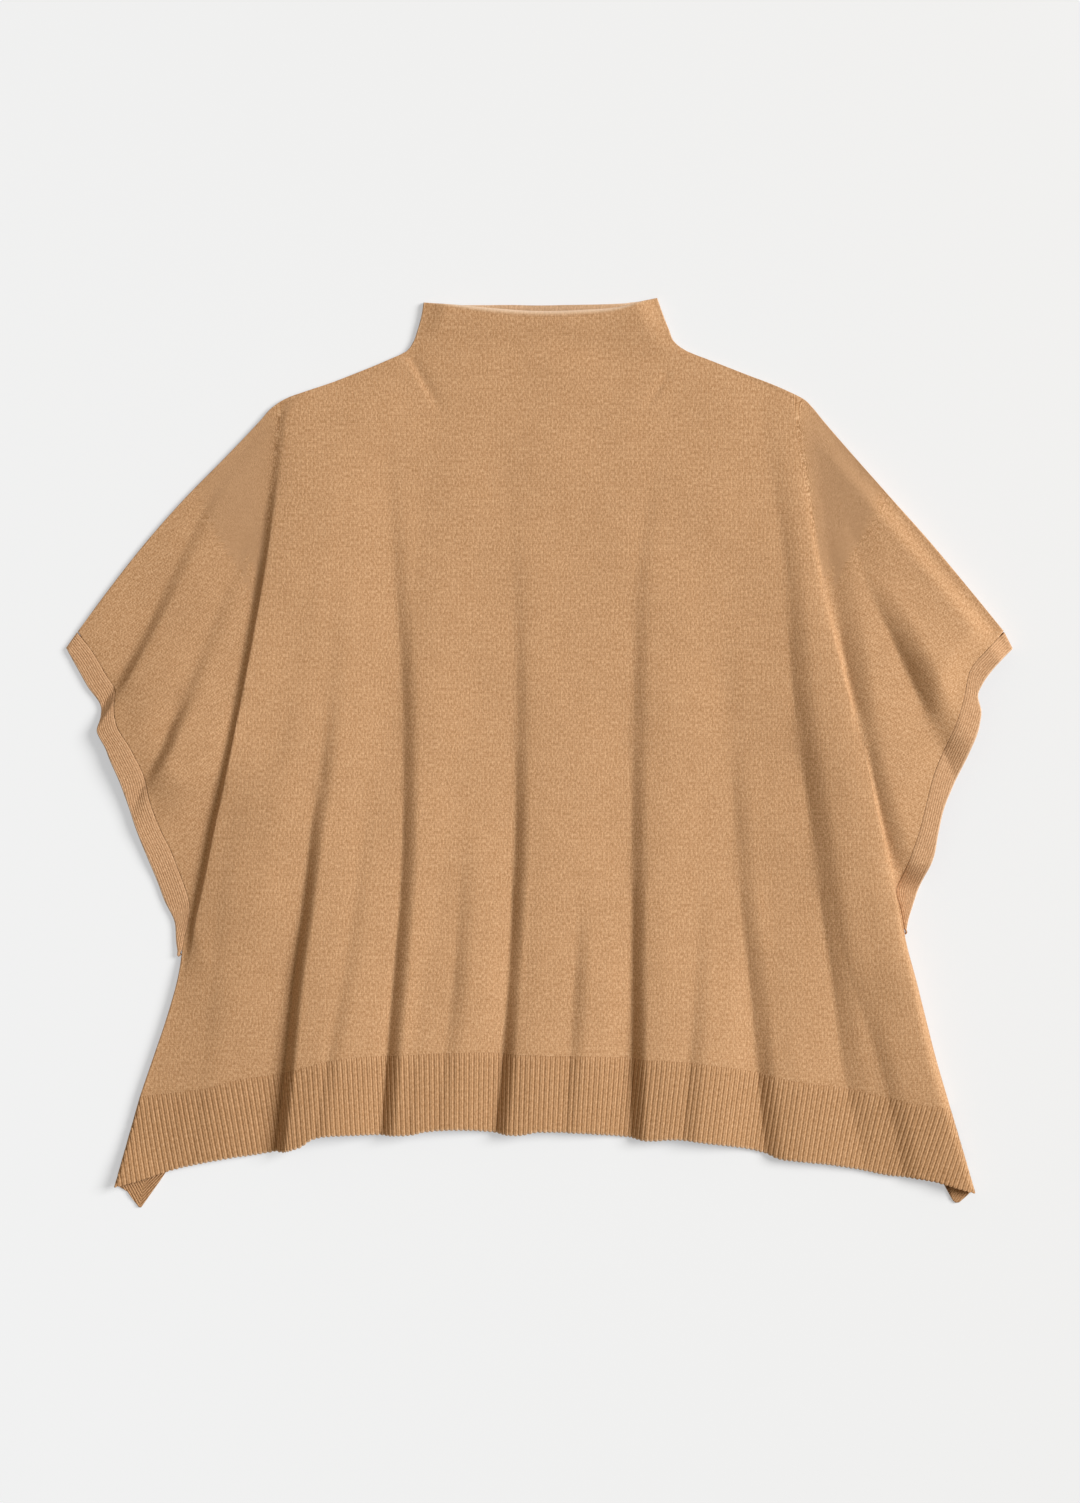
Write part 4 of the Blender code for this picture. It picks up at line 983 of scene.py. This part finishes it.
def buildArmBand(name, side, settings, material):
    t, inner, outer = bands[side]
    width = np.hypot(*(outer - inner).T)
    seamGap = frontPanel["seamGap"]
    half = base / 2.0 + cloth["layer"] / 2.0    # radius of the fold at each end
    start = (inner[5] - inner[0]) / np.hypot(*(inner[5] - inner[0]))
    cross = (outer[-1] - inner[-1]) / width[-1]
    end = np.array((cross[1], -cross[0]))
    end = end * np.sign(end @ (inner[-1] - inner[-8]))
    angles = np.linspace(math.pi / 2.0, -math.pi / 2.0, settings["endRows"])
    shares = np.linspace(0.0, 1.0, settings["across"] + 1)
    shares = shares + settings["crowd"] * np.sin(2.0 * math.pi * shares)
    lines = []
    for share in shares:
        path = inner + (outer - inner) * (seamGap / width + share * (1.0 - seamGap / width))[:, None]
        away = share * width
        ribs = settings["relief"] * ribWave(away / settings["pitch"], settings["ribRound"])
        depth, wide = settings["groove"]
        ribs = ribs * smoothStep(away / settings["calm"]) - depth * np.exp(-(away / wide) ** 2)
        turn = edgeDrop(width - away, *settings["edge"])
        z = base + cloth["layer"] - settings["sunk"] + clothRise(path[:, 0], path[:, 1]) + ribs - turn
        front = np.concatenate((path, z[:, None]), axis=1)
        front[:, 0] += clothLean(path[:, 0], path[:, 1])
        pieces = [turnPoint(path[0] + start * half * (1.0 - math.cos(angle)), z[0], half, angle)
                  for angle in angles[::-1]]
        skip = int(np.argmax(t > half)) + 1
        pieces += [tuple(p) for p in front[skip:-skip]]
        pieces += [turnPoint(path[-1] - end * half * (1.0 - math.cos(angle)), z[-1], half, angle) for angle in angles]
        pieces += [(p[0], p[1], 0.0) for p in path[skip:-skip][::-2]]
        pieces.append(pieces[0])
        lines.append(pieces)
    # the band's width at each row, for the map
    ends = np.ones(settings["endRows"])
    wide = np.concatenate((ends * width[0], width[skip:-skip], ends * width[-1], width[skip:-skip][::-2], width[:1]))
    grid = np.array(lines).transpose(1, 0, 2)
    if side > 0:
        grid = grid[:, ::-1]
        shares = shares[::-1]
    middle = grid[:, grid.shape[1] // 2]
    along = runningSum(np.linalg.norm(np.diff(middle, axis=0), axis=1))
    u = shares[None, :] * wide[:, None]
    uv = np.stack(np.broadcast_arrays(u, along[:, None]), axis=2)
    print(name, "length", round(float(along[-1])), "mm, area", round(sheetArea(grid), 4), "m2")
    # pale fibres and a painted highlight, faint over all of it and strong along the cast-off edge
    ground, more, reach = settings["fuzzAndHighlight"]
    fuzzAndHighlight = (ground + more * np.exp(-((1.0 - shares) / reach) ** 2)) * np.ones(grid.shape[:2])
    return shellObject(name, material, grid, innerFace(grid, settings["wall"], True), uv, loop=True, fuzzAndHighlight=fuzzAndHighlight)


studio = {
    "floor": "#B7B7B7",     # the table is lit from beneath as well, so shadows on it stay pale
    "glow": "#F1F7FF",
    "glowStrength": (0.482, 0.349),     # far from the softbox and near it, which evens out the table's tone
    "glowReach": 0.6,       # metres either way from the middle
    "floorSize": 30.0,      # metres
    "floorDrop": 0.0004,    # metres, so that it doesn't meet the cloth's underside
    "keyElevation": 37.0,
    "keyAzimuth": 18.0,     # degrees round from +X towards +Y
    "keyDistance": 8.0,     # metres
    "keySoftness": 30.0,    # degrees across, as the sweater sees it
    "keyPower": 845.0,
    "room": "#FFEED0",      # the room's warm walls
    "fill": 0.33,
    "cameraHeight": 2.2,    # metres
    "frameHeight": 1.3226,  # metres of floor that the frame's long side takes in
    "cameraX": 0.00044,
}


def buildStudio(settings):
    up, about = math.radians(settings["keyElevation"]), math.radians(settings["keyAzimuth"])
    bpy.ops.mesh.primitive_grid_add(x_subdivisions=4, y_subdivisions=4, size=settings["floorSize"] * 2.0)
    floor = bpy.context.object
    floor.name = "floor"
    floor.location.z = -settings["floorDrop"]
    # Board with matt paint that glows as well, painted light that keeps its shadows pale and its tone even: no gloss
    # at all, so that it shows neither grain nor reflection
    material, tree = newMaterial("matPaintedBoard")
    place = addNode(tree, "TexCoord")
    keySide = (math.cos(about), math.sin(about), 0.0)
    toKey = addNode(tree, "VectorMath", {"operation": "DOT_PRODUCT", 0: place.outputs["Object"], 1: keySide})
    far, near = settings["glowStrength"]
    glow = addNode(tree, "MapRange", {
        "From Min": -settings["glowReach"], "From Max": settings["glowReach"], "To Min": far, "To Max": near,
        "Value": toKey.outputs["Value"],
    })
    shader = addNode(tree, "BsdfPrincipled", {
        "Base Color": toLinear(settings["floor"]), "Roughness": 1.0, "Specular IOR Level": 0.0,
        "Emission Color": toLinear(settings["glow"]), "Emission Strength": glow,
    })
    addNode(tree, "OutputMaterial", {"Surface": shader})
    floor.data.materials.append(material)
    lamp = bpy.data.lights.new("softbox", "AREA")
    lamp.shape = "DISK"
    lamp.energy = settings["keyPower"]
    lamp.size = 2.0 * settings["keyDistance"] * math.tan(math.radians(settings["keySoftness"] / 2.0))
    key = addObject("softbox", lamp)
    key.location = [settings["keyDistance"] * part for part in
                    (math.cos(up) * math.cos(about), math.cos(up) * math.sin(about), math.sin(up))]
    key.rotation_euler = (0.0, math.pi / 2.0 - up, about)
    world = bpy.data.worlds.new("paleRoom")
    world.use_nodes = True
    walls = world.node_tree.nodes["Background"]
    walls.inputs["Color"].default_value = toLinear(settings["room"])
    walls.inputs["Strength"].default_value = settings["fill"]
    bpy.context.scene.world = world
    camera = bpy.data.cameras.new("camera")
    camera.sensor_width = 36.0
    camera.lens = 36.0 * settings["cameraHeight"] / settings["frameHeight"]
    eye = addObject("camera", camera)
    eye.location = (settings["cameraX"], 0.0, settings["cameraHeight"])
    bpy.context.scene.camera = eye
    bpy.context.scene.view_settings.view_transform = "Standard"


buildStudio(studio)
print("studio ready")
knit = makeKnit("cashmereStockinette", stockinette)
front = buildFrontPanel(frontPanel, knit)
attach(front, "root")
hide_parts("front_panel")
print("front panel ready")

rib = makeKnit("cashmereRib", hemKnit)
hem = buildFrontHem(hemRib, rib)
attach(hem, "root")
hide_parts("front_hem")
print("front hem ready")
back = buildBackPanel(backPanel, knit)
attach(back, "root")
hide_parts("back_panel")
print("back panel ready")
hemBehind = buildBackHem(backHem, rib)
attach(hemBehind, "root")
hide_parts("back_hem")
print("back hem ready")
fineRib = makeKnit("cashmereBand", bandKnit)
for name, side, node in (("leftBand", -1, "left_cuff"), ("rightBand", 1, "right_cuff")):
    band = buildArmBand(name, side, armBand, fineRib)
    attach(band, "root")
    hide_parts(node)
print("bands ready")
